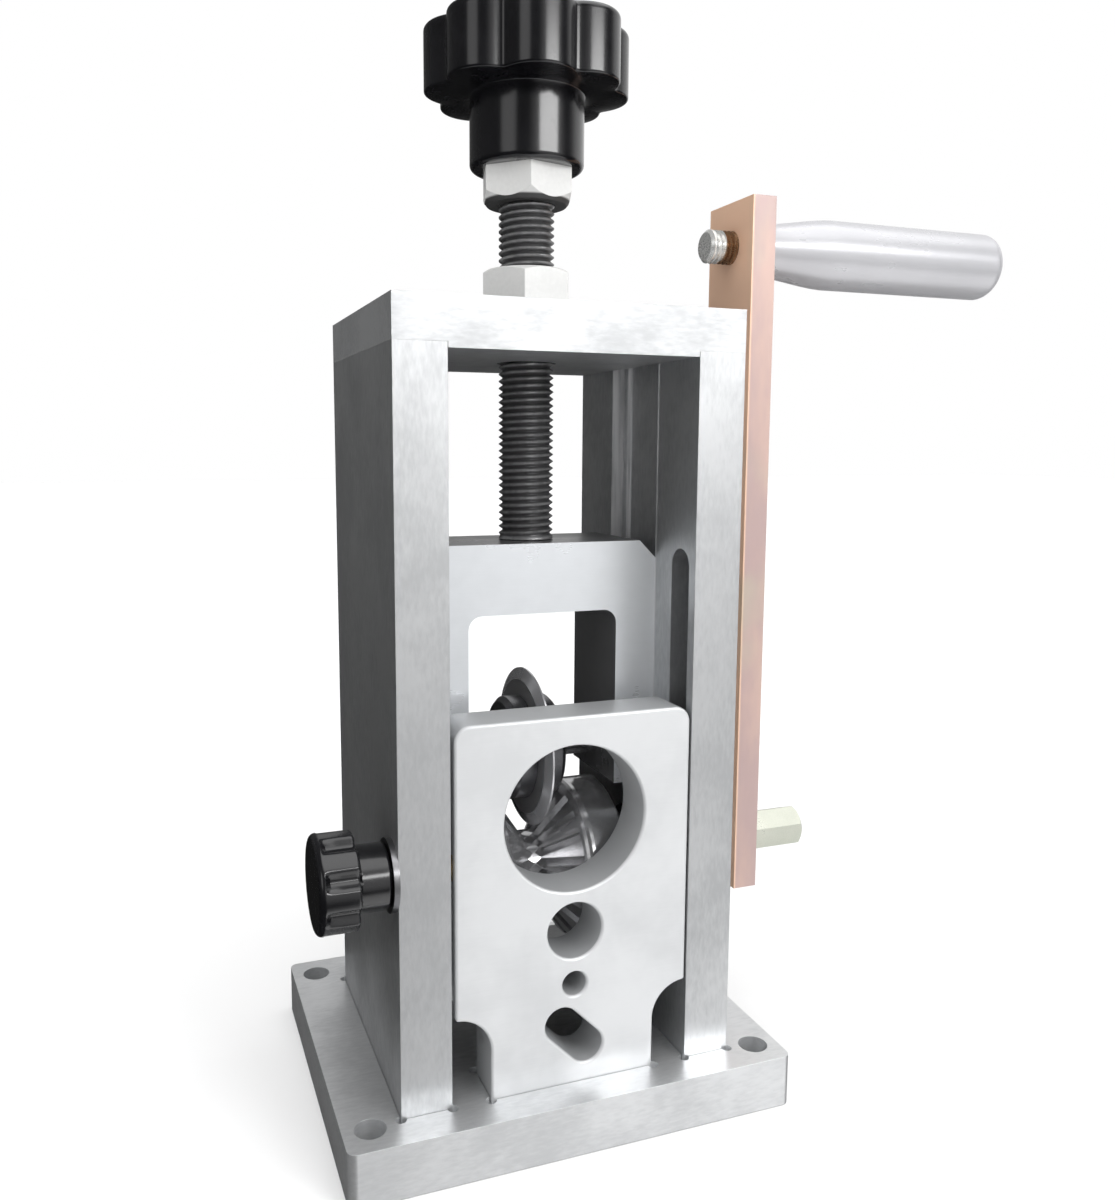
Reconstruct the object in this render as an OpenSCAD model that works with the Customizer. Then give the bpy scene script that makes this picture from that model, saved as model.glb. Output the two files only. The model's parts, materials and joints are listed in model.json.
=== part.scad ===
// Hand crank wire stripper: a screw-set cutting wheel over a toothed feed roller,
// in an upright frame on a bolt-down base, fed through a sliding guide plate.
// Millimetres. X is left to right, Y is front to back, Z is up.
// The origin is the middle of the base's underside, which is also the middle of the bolt holes.

/* [Base plate] */
// Width of the base plate, left to right
base_w = 130; // [126:1:150]
// Depth of the base plate, front to back
base_d = 105; // [100:1:130]
// Thickness of the base plate
base_t = 15; // [13:0.5:20]
// Radius of the base plate's upright corners
base_corner_r = 2.5; // [1:0.5:5]
// Distance of a bolt hole's middle from the side edge of the base
bolt_inset_x = 7.5; // [6.5:0.5:8.5]
// Distance of a bolt hole's middle from the front or back edge of the base
bolt_inset_y = 9; // [7:0.5:12]
// Diameter of the four bolt holes in the base
bolt_hole_d = 8.5; // [6:0.5:9]
// Depth of the milled pockets that the upright plates stand in
pocket_depth = 2; // [1:0.5:4]
// Diameter of the round reliefs at the pockets' corners
relief_d = 3; // [2:0.5:4]

/* [Upright frame] */
// Width of the frame over its two side plates
frame_w = 98; // [94:1:102]
// Height of the frame's top face above the base's top face
frame_h = 213; // [208:1:230]
// Distance of the frame's front face behind the base's front edge
frame_setback = 10; // [5:0.5:12]
// Thickness of each side plate
side_t = 14; // [13:0.5:16]
// Thickness of the top plate between the side plates
top_t = 13; // [12:0.5:18]
// Depth of the steps in the top plate that sit on the side plates
top_rebate = 1.5; // [1:0.25:2.5]
// Diameter of the frame's screws
frame_screw_d = 6; // [5:0.5:6]
// Distance of the frame's screws from the frame's middle, along Y
frame_screw_y = 28; // [24:1:32]
// Diameter of the frame screws' heads in the top plate
frame_head_d = 10; // [9:0.5:10]
// Height of the frame screws' heads in the top plate
frame_head_h = 6; // [5:0.5:7]
// Length of the frame screws in the side plates
frame_screw_l = 20; // [16:1:24]
// Depth of the vertical grooves that the carriage runs in
groove_depth = 4; // [3:0.5:5]
// Depth of the vertical grooves below the carriage's legs
groove_below = 3.5; // [3:0.5:6]

/* [Depth screw and its knob] */
// Diameter of the depth screw over its thread
screw_d = 16; // [14:0.5:17]
// Pitch of the depth screw's thread
screw_pitch = 2; // [1.5:0.25:2.5]
// Height of the screw's top end above the top of the upper nut
screw_in_knob = 30; // [24:1:32]
// Width across the flats of both hexagon nuts
nut_af = 24; // [22:1:26]
// Height of the drive nut's hexagon
nut_h = 13; // [10:0.5:15]
// Height of the nut under the star knob
lock_nut_h = 9.5; // [8:0.5:13]
// Height of the upper nut's underside above the frame's top face
jam_nut_h = 31; // [28:0.5:36]
// Wall of the drive nut's spigot, which sits in the top plate
spigot_wall = 2.5; // [2:0.25:3]
// Length of the drive nut's spigot
spigot_h = 8; // [5:0.5:10]
// Diameter of the star knob over its lobes
knob_d = 58; // [52:1:64]
// Thickness of the star knob's lobed head
knob_head_h = 18; // [14:1:22]
// Diameter of the star knob's collar
knob_collar_d = 32.5; // [30:0.5:34]
// Height of the star knob's collar
knob_collar_h = 20; // [16:1:24]
// Number of lobes on the star knob
knob_lobes = 8; // [6:1:10]
// Radius of the star knob's lobes
knob_lobe_r = 10.4; // [8:0.1:11]
// Diameter of the star knob's round core inside the lobes
knob_core_d = 44; // [30:1:45]
// Turn of the first lobe about the screw, in degrees
lobe_turn = -102; // [-180:1:180]
// Turn of the drive nut about the screw, in degrees
drive_nut_turn = -112; // [-180:1:180]
// Turn of the lock nut about the screw, in degrees
lock_nut_turn = -105; // [-180:1:180]
// Angle of the chamfer at the foot of the nut under the star knob
lock_nut_foot_angle = 50; // [30:1:60]
// Wall of the steel insert in the star knob
insert_wall = 3; // [2:0.5:4]

/* [Carriage] */
// Thickness of the carriage, front to back
carriage_t = 31; // [28:1:33]
// Height of the carriage's top face above the blade's axle
carriage_above_axle = 63; // [60:0.5:66]
// Gap between the ends of the carriage's legs and the feed roller's flanges under them
leg_end_gap = 3; // [2.8:0.1:4]
// Thickness of the carriage's legs between the side plates
leg_w = 12.4; // [11:0.1:14]
// Thickness of the carriage's bar above the opening
bar_h = 20; // [19:1:22]
// Radius of the opening's upper corners
window_r = 4; // [2:0.5:6]
// Size of the slanted corners on top of the carriage
carriage_chamfer = 9; // [6:0.5:10]
// Depth of the blind bore that holds the screw's end
journal_depth = 14; // [12:0.5:15]
// Diameter of the screw's plain end
journal_d = 12; // [11:0.5:12]
// Diameter of the two pins that hold the screw's end
retainer_d = 3; // [2.5:0.25:3.5]
// Depth of the two pins below the carriage's top face
retainer_h = 8; // [6:0.5:10]

/* [Cutting wheel] */
// Diameter of the cutting blade
blade_d = 47.6; // [46:0.2:49]
// Thickness of the cutting blade
blade_t = 3; // [2:0.25:4]
// Width of the ground bevel on each side of the blade's rim
bevel_w = 3.5; // [2:0.25:5]
// Gap between the blade's edge and the feed roller's waist
nip_gap = 3.4; // [2.6:0.1:4]
// Diameter of the two flanges that clamp the blade
flange_d = 31; // [25:0.5:32]
// Width of the blade's hub over both flanges
hub_w = 15.5; // [14:0.5:19]
// Diameter of the blade's axle
axle_d = 8; // [7:0.5:9]
// Wall of the bronze bush in the blade's hub
bush_wall = 1.5; // [1:0.25:2]
// Distance of the flange screws from the axle
flange_screw_r = 9.5; // [9:0.25:10]
// Diameter of the flange screws
flange_screw_d = 3; // [2:0.5:3]
// Diameter of the clips that keep the hub in the middle of the axle
clip_d = 12.8; // [12:0.2:15]
// Thickness of the clips
clip_t = 1; // [0.8:0.1:1.5]
// Diameter of the set screws in the carriage and the crank arm
set_screw_d = 5; // [4:0.5:6]
// Length of the set screws in the carriage
set_screw_l = 8; // [6:0.5:10]

/* [Feed roller and shaft] */
// Height of the shaft above the base's top face
shaft_h = 49; // [48:0.25:49.5]
// Diameter of the shaft
shaft_d = 15; // [14:0.5:15]
// Diameter of the feed roller's flanges
roller_d = 48.8; // [46:0.2:49]
// Diameter of the feed roller's waist
waist_d = 19.6; // [19:0.2:20.2]
// Length of the sleeves between the feed roller and the bearings
spacer_l = 10.5; // [10:0.25:13]
// Width of the flanges on both sides of the feed roller's vee
roller_flange_w = 12.5; // [8:0.25:13]
// Radius of the rounding between the vee and the flanges
shoulder_r = 4; // [2:0.5:5]
// Width of the flat bottom of the vee
waist_w = 4; // [2:0.5:6]
// Number of teeth round the feed roller
roller_teeth = 20; // [16:1:24]
// Depth of the gaps between the feed roller's teeth
tooth_depth = 1; // [0.5:0.1:1.2]
// Side of the square key between the shaft and the feed roller
key_w = 4; // [3:0.5:5]
// Length of the key
key_l = 10; // [8:1:14]
// Outer diameter of the two ball bearings
bearing_d = 28; // [26:0.5:29]
// Width of the two ball bearings
bearing_w = 7; // [6:0.5:8]
// Wall of the bearings' rings
bearing_wall = 2; // [1.5:0.25:2.5]
// Number of balls in each bearing
bearing_balls_n = 12; // [8:1:13]
// Thickness of the spring rings on the shaft and on the handle's spindle
ring_t = 1; // [0.8:0.1:1.5]
// Depth of the grooves for the spring rings
ring_groove = 0.5; // [0.3:0.1:0.8]
// How far the spring rings stand out of their grooves
ring_out = 1.25; // [0.8:0.05:1.5]
// Length of the hexagonal shaft end beyond the crank arm
hex_l = 22; // [16:1:30]
// Width across the flats of the hexagonal shaft end
hex_af = 12; // [10:0.5:12]
// Turn of the hexagonal shaft end about the shaft, in degrees
hex_turn = 9; // [0:1:59]

/* [Guide plate] */
// Gap between the guide plate and the left side plate
guide_gap_left = 1.1; // [0.5:0.1:1.5]
// Thickness of the guide plate
guide_t = 14.5; // [12.5:0.25:16]
// Gap between the guide plate's back and the larger of the blade and the roller
guide_run = 0.6; // [0.4:0.1:2]
// Height of the guide plate's top edge above the base's top face
guide_h = 104.6; // [100:0.2:108]
// Gap between the guide plate and the right side plate
guide_gap = 0.4; // [0.3:0.1:0.6]
// Radius of the guide plate's upper corners
guide_corner_r = 4.5; // [2:0.5:7]
// Diameter of the large cable hole
hole_a_d = 41; // [36:0.5:42]
// Height of the large hole's middle above the base's top face
hole_a_h = 76; // [74:0.5:78]
// Diameter of the medium cable hole
hole_b_d = 16; // [12:0.5:17]
// Height of the medium hole's middle above the base's top face
hole_b_h = 44.2; // [42:0.2:46]
// Diameter of the small cable hole
hole_c_d = 7; // [5:0.5:8]
// Height of the small hole's middle above the base's top face
hole_c_h = 28.8; // [28:0.2:30]
// Width of the slanted slot for flat cable
slot_w = 10; // [8:0.5:11]
// Distance between the middles of the slanted slot's round ends
slot_l = 10; // [8:0.5:12]
// Height of the slanted slot's middle above the base's top face
slot_h = 13.7; // [13:0.1:14.5]
// Slant of the slot from the level, in degrees
slot_angle = 45; // [0:1:60]
// Width and radius of the notches in the guide plate's lower corners
notch_w = 10; // [8:0.5:12]
// Height of the notches above the base's top face
notch_h = 24; // [20:0.5:28]
// How far the guide plate slides up
guide_travel = 50; // [45:1:50]
// Diameter of the guide pin's head
pin_head_d = 9.8; // [9:0.1:10]
// Diameter of the guide pin's shank
pin_d = 6; // [5:0.5:7]
// Length of the guide pin's shank
pin_shank_l = 12; // [8:1:14]
// Height of the guide pin above the base's top face
pin_h = 92.5; // [91:0.5:94]
// Distance of the guide pin behind the frame's front face
pin_inset = 8.5; // [7.5:0.5:9]
// Depth of the slot that the guide pin runs in
pin_slot_depth = 7; // [5:0.5:8]

/* [Clamp knob] */
// Height of the clamp knob above the base's top face
clamp_h = 64.7; // [60:0.1:70]
// Diameter of the clamp's stud
stud_d = 6; // [5:0.5:6]
// Diameter of the stud's nose, which turns in the pad
stud_nose_d = 4; // [3:0.5:5]
// Length of the stud's nose
stud_nose_l = 3; // [2:0.5:4]
// Diameter of the brass pad on the stud's end
pad_d = 8; // [7.5:0.5:9]
// Length of the brass pad
pad_l = 6; // [5:0.5:8]
// Depth of the groove in the guide plate's edge that the pad runs in
pad_groove = 3; // [2:0.5:4]
// Diameter of the clamp knob's fluted head
clamp_d = 26; // [23:0.5:30]
// Length of the clamp knob's fluted head
clamp_head_l = 10.5; // [9:0.5:14]
// Diameter of the clamp knob's collar
clamp_collar_d = 17.5; // [15:0.5:20]
// Length of the clamp knob's collar
clamp_collar_l = 8.5; // [6:0.5:12]
// Thickness of the clamp knob's end over the stud
clamp_cover = 4; // [3:0.5:6]
// Radius of the flutes in the clamp knob's head
clamp_flute_r = 2.9; // [2:0.1:3.5]
// Number of flutes in the clamp knob's head
clamp_flutes = 8; // [6:1:10]
// Diameter of the washer under the clamp knob
washer_d = 19.5; // [18:0.5:22]
// Thickness of the washer under the clamp knob
washer_t = 1.5; // [1:0.25:2]

/* [Crank] */
// Distance between the shaft and the handle
crank_throw = 188; // [160:1:200]
// Width of the crank arm
arm_w = 25; // [24:0.5:30]
// Thickness of the crank arm
arm_t = 8; // [7:0.5:10]
// Length of the crank arm beyond the shaft and beyond the handle
arm_end = 13.5; // [12.5:0.5:16]
// Gap between the base's edge and the crank arm
arm_clear = 2; // [1.5:0.5:6]
// Diameter of the handle spindle's threaded stub
stub_d = 10; // [8:0.5:12]
// How far the threaded stub stands out of the arm
stub_l = 9; // [5:0.5:10]
// Diameter of the spindle inside the handle
spindle_d = 8; // [7:0.5:9]
// Length of the turning handle
grip_l = 89; // [80:1:110]
// Diameter of the handle at the arm
grip_neck_d = 15.8; // [14:0.2:18]
// Diameter of the handle where the hand holds it
grip_d = 21.4; // [19:0.2:26]
// Length of the handle's tapered part
grip_taper_l = 24; // [16:1:32]
// Radius of the handle's rounded end
grip_end_r = 4; // [2:0.5:4]
// Thickness of the spindle's collar between the arm and the handle
spindle_collar_t = 2; // [1:0.5:3]
// Thickness of the cap in the handle's end
cap_t = 4; // [3:0.5:5]
// Diameter of the bore for the cap
cap_bore_d = 13; // [12:0.5:13]
// Depth of the bore for the cap
cap_bore_l = 10; // [9:0.5:12]
// How far the spindle stands into the cap's bore
spindle_in_cap = 4; // [3:0.5:4.5]

/* [Fits] */
// Radial clearance of parts that turn or slide in a bore
run_clear = 0.05; // [0.03:0.01:0.09]
// Clearance on each side of the carriage in its grooves
slide_clear = 0.1; // [0.05:0.05:0.2]
// Clearance on each side of a plate in its pocket
pocket_clear = 0.1; // [0.05:0.05:0.2]
// Radial clearance of screws and pins that are fixed in their holes
fit_clear = 0.02; // [0.01:0.01:0.05]
// Small gap that keeps facing surfaces of moving parts apart
face_gap = 0.3; // [0.2:0.05:0.4]

/* [Hidden] */
$fn = 64;
eps = 0.01;
over = 1;

// Levels and faces of the frame, whose middle is over the shaft
frame_d = 2 * (guide_t + guide_run) + max(blade_d, roller_d);
frame_y = -base_d / 2 + frame_setback + frame_d / 2;
seat_z = base_t - pocket_depth;
top_z = base_t + frame_h;
joint_z = top_z - top_t + top_rebate;
inner_x = frame_w / 2 - side_t;
side_mid_x = frame_w / 2 - side_t / 2;
front_y = frame_y - frame_d / 2;

// Axes of the turning parts
shaft_z = base_t + shaft_h;
blade_z = shaft_z + waist_d / 2 + nip_gap + blade_d / 2;
clamp_z = base_t + clamp_h;
guide_mid_y = front_y + guide_t / 2;

// Carriage and screw
carriage_top = blade_z + carriage_above_axle;
carriage_bottom = shaft_z + roller_d / 2 + leg_end_gap;
roller_w = 2 * (inner_x - spacer_l);
vee_w = roller_w - 2 * roller_flange_w;
vee_slope = atan2(roller_d - waist_d, vee_w - waist_w);
window_w = 2 * (inner_x - leg_w);
carriage_half = inner_x + groove_depth - slide_clear;
groove_w = carriage_t + 2 * slide_clear;
groove_bottom = carriage_bottom - groove_below;
leg_x = (window_w / 2 + carriage_half) / 2;
jam_nut_z = top_z + jam_nut_h;
knob_z = jam_nut_z + lock_nut_h;
thread_depth = 0.6134 * screw_pitch;
spigot_d = screw_d + 2 * spigot_wall;
insert_d = screw_d + 2 * insert_wall;
retainer_x = journal_d / 2;
retainer_z = carriage_top - retainer_h;

// Frame screws
base_head_d = 2 * frame_screw_d;
base_head_h = frame_screw_d / 2;
screw_space = 2;

// Blade hub
bush_d = axle_d + 2 * bush_wall;
axle_half = carriage_half - face_gap;

// Guide plate, which sits closer to the right side plate
guide_right = inner_x - guide_gap;
guide_left = -inner_x + guide_gap_left;
guide_w = guide_right - guide_left;
guide_mid_x = (guide_left + guide_right) / 2;
guide_top = base_t + guide_h;
foot_clear = 2 * pocket_clear;
pin_z = base_t + pin_h;
pin_y = front_y + pin_inset;
pin_slot_d = pin_head_d + 4 * run_clear;
pin_head_l = pin_slot_depth + guide_gap - face_gap;

// Clamp, whose pad stands just off the bottom of the guide plate's groove
pad_tip_x = guide_left + pad_groove - slide_clear;
pad_back_x = pad_tip_x - pad_l;
pad_travel = pad_groove + 1;
clamp_base_x = -frame_w / 2 - washer_t - face_gap;
clamp_tip_x = clamp_base_x - clamp_collar_l - clamp_head_l;
stud_end_x = clamp_tip_x + clamp_cover;

// Shaft, bearings and crank
bearing_bore_r = bearing_d / 2 + fit_clear;
bearing_inner_d = shaft_d + 2 * bearing_wall;
bearing_outer_bore_d = bearing_d - 2 * bearing_wall;
ball_track_r = (bearing_inner_d + bearing_outer_bore_d) / 4;
ball_r = (bearing_outer_bore_d - bearing_inner_d) / 4 - run_clear;
bearing_x = inner_x + bearing_w;
arm_x = base_w / 2 + arm_clear;
arm_out_x = arm_x + arm_t;
spacer_d = bearing_inner_d;
web_hole_d = spacer_d + 2 * face_gap;
shaft_left_x = -bearing_x - 2.5 * ring_t;
handle_z = shaft_z + crank_throw;
grip_x = arm_out_x + spindle_collar_t + face_gap;
spindle_end_x = grip_x + grip_l - cap_bore_l + spindle_in_cap;
snap_ring_x = spindle_end_x - 3 * ring_t;

// A round bar along X from x1 to x2
module x_bar(d, x1, x2) {
  translate([x1, 0, 0])
    rotate([0, 90, 0])
      cylinder(h = x2 - x1, d = d);
}

// A round tube along X from x1 to x2
module x_tube(d_out, d_in, x1, x2) {
  difference() {
    x_bar(d_out, x1, x2);
    x_bar(d_in, x1 - over, x2 + over);
  }
}

// A shape turned about the X axis from an outline of [x, radius] points
module x_turned(outline) {
  rotate([0, 90, 0])
    rotate_extrude()
      polygon([for (p = outline) [p[1], p[0]]]);
}

// A hexagon nut standing on z = 0 and without its bore, with the corners
// chamfered at its foot and, unless it is flat there, at its head
module nut_blank(af, h, foot_angle = 30, flat_head = false) {
  corner_r = af / sqrt(3);
  face_r = 0.95 * af / 2;
  foot_h = (corner_r - face_r) * tan(foot_angle);
  head_h = (corner_r - face_r) * tan(30);
  head = flat_head ? [[corner_r, h]] : [[corner_r, h - head_h], [face_r, h]];
  intersection() {
    cylinder(h = h, r = corner_r, $fn = 6);
    rotate_extrude()
      polygon(concat([[0, 0], [face_r, 0], [corner_r, foot_h]], head, [[0, h]]));
  }
}

// A socket head cap screw pointing down, with its head's top face at z = 0
module cap_screw(d, l, head_d, head_h) {
  socket_depth = 0.6 * head_h;
  difference() {
    union() {
      translate([0, 0, -head_h])
        cylinder(h = head_h, d = head_d);
      translate([0, 0, -head_h - l])
        cylinder(h = l + eps, d = d);
    }
    translate([0, 0, -socket_depth])
      cylinder(h = head_h, d = d, $fn = 6);
  }
}

// A countersunk socket screw pointing up, with its head's flat face at z = 0
module countersunk_screw(d, l, head_d, head_h) {
  socket_depth = 0.8 * head_h;
  socket_d = 0.65 * d;
  difference() {
    union() {
      cylinder(h = head_h, d1 = head_d, d2 = d);
      cylinder(h = l, d = d);
    }
    translate([0, 0, -eps])
      cylinder(h = socket_depth, d = socket_d, $fn = 6);
  }
}

// Places for the frame's four screws, two in each side plate
module at_frame_screws() {
  for (sx = [-1, 1])
    for (sy = [-1, 1])
      translate([sx * side_mid_x, frame_y + sy * frame_screw_y, 0])
        children();
}

// A pocket with round reliefs at its corners, cut into the base's top face
module pocket(x1, x2, y1, y2) {
  translate([x1, y1, seat_z])
    cube([x2 - x1, y2 - y1, pocket_depth + over]);
  for (x = [x1, x2])
    for (y = [y1, y2])
      translate([x, y, seat_z])
        cylinder(h = pocket_depth + over, d = relief_d);
}

module base_plate() {
  color("silver")
  difference() {
    union() {
      for (sx = [-1, 1])
        for (sy = [-1, 1])
          translate([sx * (base_w / 2 - base_corner_r), sy * (base_d / 2 - base_corner_r), 0])
            cylinder(h = base_t, r = base_corner_r);
      translate([-base_w / 2, -base_d / 2 + base_corner_r, 0])
        cube([base_w, base_d - 2 * base_corner_r, base_t]);
      translate([-base_w / 2 + base_corner_r, -base_d / 2, 0])
        cube([base_w - 2 * base_corner_r, base_d, base_t]);
    }
    for (sx = [-1, 1])
      for (sy = [-1, 1])
        translate([sx * (base_w / 2 - bolt_inset_x), sy * (base_d / 2 - bolt_inset_y), -over])
          cylinder(h = base_t + 2 * over, d = bolt_hole_d);
    for (sx = [-1, 1])
      pocket(sx * side_mid_x - side_t / 2 - pocket_clear, sx * side_mid_x + side_t / 2 + pocket_clear,
             front_y - pocket_clear, front_y + frame_d + pocket_clear);
    pocket(guide_left + notch_w - foot_clear, guide_right - notch_w + foot_clear,
           front_y - foot_clear, front_y + guide_t + foot_clear);
    at_frame_screws() {
      translate([0, 0, -over])
        cylinder(h = base_t + 2 * over, d = frame_screw_d + 2 * fit_clear);
      translate([0, 0, -over])
        cylinder(h = over + face_gap, d = base_head_d + 2 * fit_clear);
      translate([0, 0, face_gap])
        cylinder(h = base_head_h, d1 = base_head_d + 2 * fit_clear, d2 = frame_screw_d + 2 * fit_clear);
    }
  }
}

module base_screws() {
  color("dimgray")
  at_frame_screws()
    translate([0, 0, face_gap])
      countersunk_screw(frame_screw_d, base_t + frame_screw_l / 2, base_head_d, base_head_h);
}

// A plain side plate with its carriage groove, screw holes and bearing seat.
// Side is -1 for the left plate and 1 for the right one.
module side_plate(side) {
  groove_x = side > 0 ? inner_x - over : -inner_x - groove_depth;
  difference() {
    translate([side * side_mid_x - side_t / 2, front_y, seat_z])
      cube([side_t, frame_d, joint_z - seat_z]);
    translate([groove_x, frame_y - groove_w / 2, groove_bottom])
      cube([groove_depth + over, groove_w, joint_z - groove_bottom + over]);
    at_frame_screws() {
      cylinder(h = base_t + frame_screw_l / 2 + screw_space, d = frame_screw_d + 2 * fit_clear);
      translate([0, 0, top_z - frame_head_h - frame_screw_l - screw_space])
        cylinder(h = frame_screw_l + screw_space, d = frame_screw_d + 2 * fit_clear);
    }
    translate([0, frame_y, shaft_z])
      mirror([side > 0 ? 0 : 1, 0, 0])
        x_bar(2 * bearing_bore_r, inner_x - over, bearing_x);
  }
}

module left_side_plate() {
  color("gainsboro")
  difference() {
    side_plate(-1);
    translate([0, frame_y, shaft_z])
      x_bar(web_hole_d, shaft_left_x - face_gap, -inner_x);
    translate([0, guide_mid_y, clamp_z]) {
      x_bar(stud_d + 2 * run_clear, -frame_w / 2 - over, -inner_x + over);
      x_bar(pad_d + 2 * run_clear, pad_back_x - pad_travel - face_gap, -inner_x + over);
    }
  }
}

module right_side_plate() {
  slot_bottom = pin_z - pin_slot_d / 2 - face_gap;
  slot_top = pin_z + guide_travel + pin_slot_d / 2 + face_gap;
  color("gainsboro")
  difference() {
    side_plate(1);
    translate([0, frame_y, shaft_z])
      x_bar(web_hole_d, inner_x, frame_w / 2 + over);
    for (z = [slot_bottom + pin_slot_d / 2, slot_top - pin_slot_d / 2])
      translate([0, pin_y, z])
        x_bar(pin_slot_d, inner_x - over, inner_x + pin_slot_depth);
    translate([inner_x - over, pin_y - pin_slot_d / 2, slot_bottom + pin_slot_d / 2])
      cube([pin_slot_depth + over, pin_slot_d, slot_top - slot_bottom - pin_slot_d]);
  }
}

module top_plate() {
  step_half = inner_x - pocket_clear;
  color("gainsboro")
  difference() {
    union() {
      translate([-frame_w / 2, front_y, joint_z])
        cube([frame_w, frame_d, top_z - joint_z]);
      translate([-step_half, front_y, joint_z - top_rebate])
        cube([2 * step_half, frame_d, top_rebate + eps]);
    }
    translate([0, frame_y, joint_z - top_rebate - over])
      cylinder(h = top_t + 2 * over, d = screw_d + 4 * face_gap);
    translate([0, frame_y, top_z - spigot_h])
      cylinder(h = spigot_h + over, d = spigot_d + 2 * fit_clear);
    at_frame_screws() {
      translate([0, 0, joint_z - over])
        cylinder(h = top_t + 2 * over, d = frame_screw_d + 2 * fit_clear);
      translate([0, 0, top_z - frame_head_h])
        cylinder(h = frame_head_h + over, d = frame_head_d + 2 * pocket_clear);
    }
  }
}

module top_plate_screws() {
  color("dimgray")
  at_frame_screws()
    translate([0, 0, top_z])
      cap_screw(frame_screw_d, frame_screw_l, frame_head_d, frame_head_h);
}

module drive_nut() {
  color("whitesmoke")
  translate([0, frame_y, 0])
  difference() {
    union() {
      translate([0, 0, top_z])
        rotate([0, 0, drive_nut_turn])
          nut_blank(nut_af, nut_h);
      translate([0, 0, top_z - spigot_h])
        cylinder(h = spigot_h + eps, d = spigot_d);
    }
    translate([0, 0, top_z - spigot_h - over])
      cylinder(h = spigot_h + nut_h + 2 * over, d = screw_d + 2 * run_clear);
  }
}

// Outline of the thread's ridges from z1 to z2, as [radius, z] points
function thread_points(z1, z2) =
  [for (i = [0 : floor((z2 - z1) / screw_pitch) - 1])
    let (z = z1 + i * screw_pitch)
      each [[screw_d / 2 - thread_depth, z + 0.12 * screw_pitch],
            [screw_d / 2, z + 0.44 * screw_pitch],
            [screw_d / 2, z + 0.56 * screw_pitch],
            [screw_d / 2 - thread_depth, z + 0.88 * screw_pitch]]];

module depth_screw() {
  journal_end = carriage_top - journal_depth + face_gap;
  journal_edge = 1;
  neck_r = retainer_x - retainer_d / 2 - run_clear;
  neck_half = retainer_d / 2 + run_clear;
  plain_r = screw_d / 2 - thread_depth;
  color("darkslategray")
  translate([0, frame_y, 0])
  rotate_extrude()
    polygon(concat(
      [[0, journal_end], [journal_d / 2 - journal_edge, journal_end],
       [journal_d / 2, journal_end + journal_edge],
       [journal_d / 2, retainer_z - neck_half], [neck_r, retainer_z - neck_half],
       [neck_r, retainer_z + neck_half], [journal_d / 2, retainer_z + neck_half],
       [journal_d / 2, carriage_top], [plain_r, carriage_top]],
      thread_points(carriage_top, knob_z),
      [[plain_r, knob_z + screw_in_knob], [0, knob_z + screw_in_knob]]));
}

module knob_lock_nut() {
  color("whitesmoke")
  translate([0, frame_y, jam_nut_z])
  difference() {
    rotate([0, 0, lock_nut_turn])
      nut_blank(nut_af, lock_nut_h, foot_angle = lock_nut_foot_angle, flat_head = true);
    translate([0, 0, -over])
      cylinder(h = lock_nut_h + 2 * over, d = screw_d + 2 * fit_clear);
  }
}

module knob_insert() {
  color("silver")
  translate([0, frame_y, knob_z])
  difference() {
    cylinder(h = screw_in_knob, d = insert_d);
    translate([0, 0, -over])
      cylinder(h = screw_in_knob + 2 * over, d = screw_d - 2 * thread_depth + 2 * fit_clear);
  }
}

module star_knob() {
  lobe_track = knob_d / 2 - knob_lobe_r;
  color("black")
  translate([0, frame_y, knob_z])
  difference() {
    union() {
      cylinder(h = knob_collar_h + over, d = knob_collar_d);
      translate([0, 0, knob_collar_h])
        linear_extrude(knob_head_h) {
          circle(d = knob_core_d);
          for (i = [0 : knob_lobes - 1])
            rotate(lobe_turn + i * 360 / knob_lobes)
              translate([lobe_track, 0])
                circle(r = knob_lobe_r);
        }
    }
    translate([0, 0, -over])
      cylinder(h = screw_in_knob + over + face_gap, d = insert_d + 2 * fit_clear);
  }
}

// The opening between the carriage's legs, with round upper corners
module carriage_window() {
  top = carriage_top - bar_h;
  half = window_w / 2;
  translate([-half, -carriage_t, carriage_bottom - over])
    cube([window_w, 2 * carriage_t, top - window_r - carriage_bottom + over]);
  translate([-half + window_r, -carriage_t, carriage_bottom])
    cube([window_w - 2 * window_r, 2 * carriage_t, top - carriage_bottom]);
  for (sx = [-1, 1])
    translate([sx * (half - window_r), -carriage_t, top - window_r])
      rotate([-90, 0, 0])
        cylinder(h = 2 * carriage_t, r = window_r);
}

module carriage() {
  bar_outline = [[-carriage_half, carriage_bottom], [carriage_half, carriage_bottom],
                 [carriage_half, carriage_top - carriage_chamfer],
                 [carriage_half - carriage_chamfer, carriage_top],
                 [-carriage_half + carriage_chamfer, carriage_top],
                 [-carriage_half, carriage_top - carriage_chamfer]];
  color("gainsboro")
  translate([0, frame_y, 0])
  difference() {
    translate([0, carriage_t / 2, 0])
      rotate([90, 0, 0])
        linear_extrude(carriage_t)
          polygon(bar_outline);
    carriage_window();
    translate([0, 0, carriage_top - journal_depth])
      cylinder(h = journal_depth + over, d = journal_d + 2 * run_clear);
    for (sx = [-1, 1])
      translate([sx * retainer_x, -journal_d / 2, retainer_z])
        rotate([-90, 0, 0])
          cylinder(h = carriage_t, d = retainer_d + 2 * fit_clear);
    translate([0, 0, blade_z])
      x_bar(axle_d + 2 * fit_clear, -carriage_half - over, carriage_half + over);
    for (sx = [-1, 1])
      translate([sx * leg_x, 0, blade_z])
        rotate([-90, 0, 0])
          cylinder(h = carriage_t, d = set_screw_d + 2 * fit_clear);
  }
}

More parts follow.
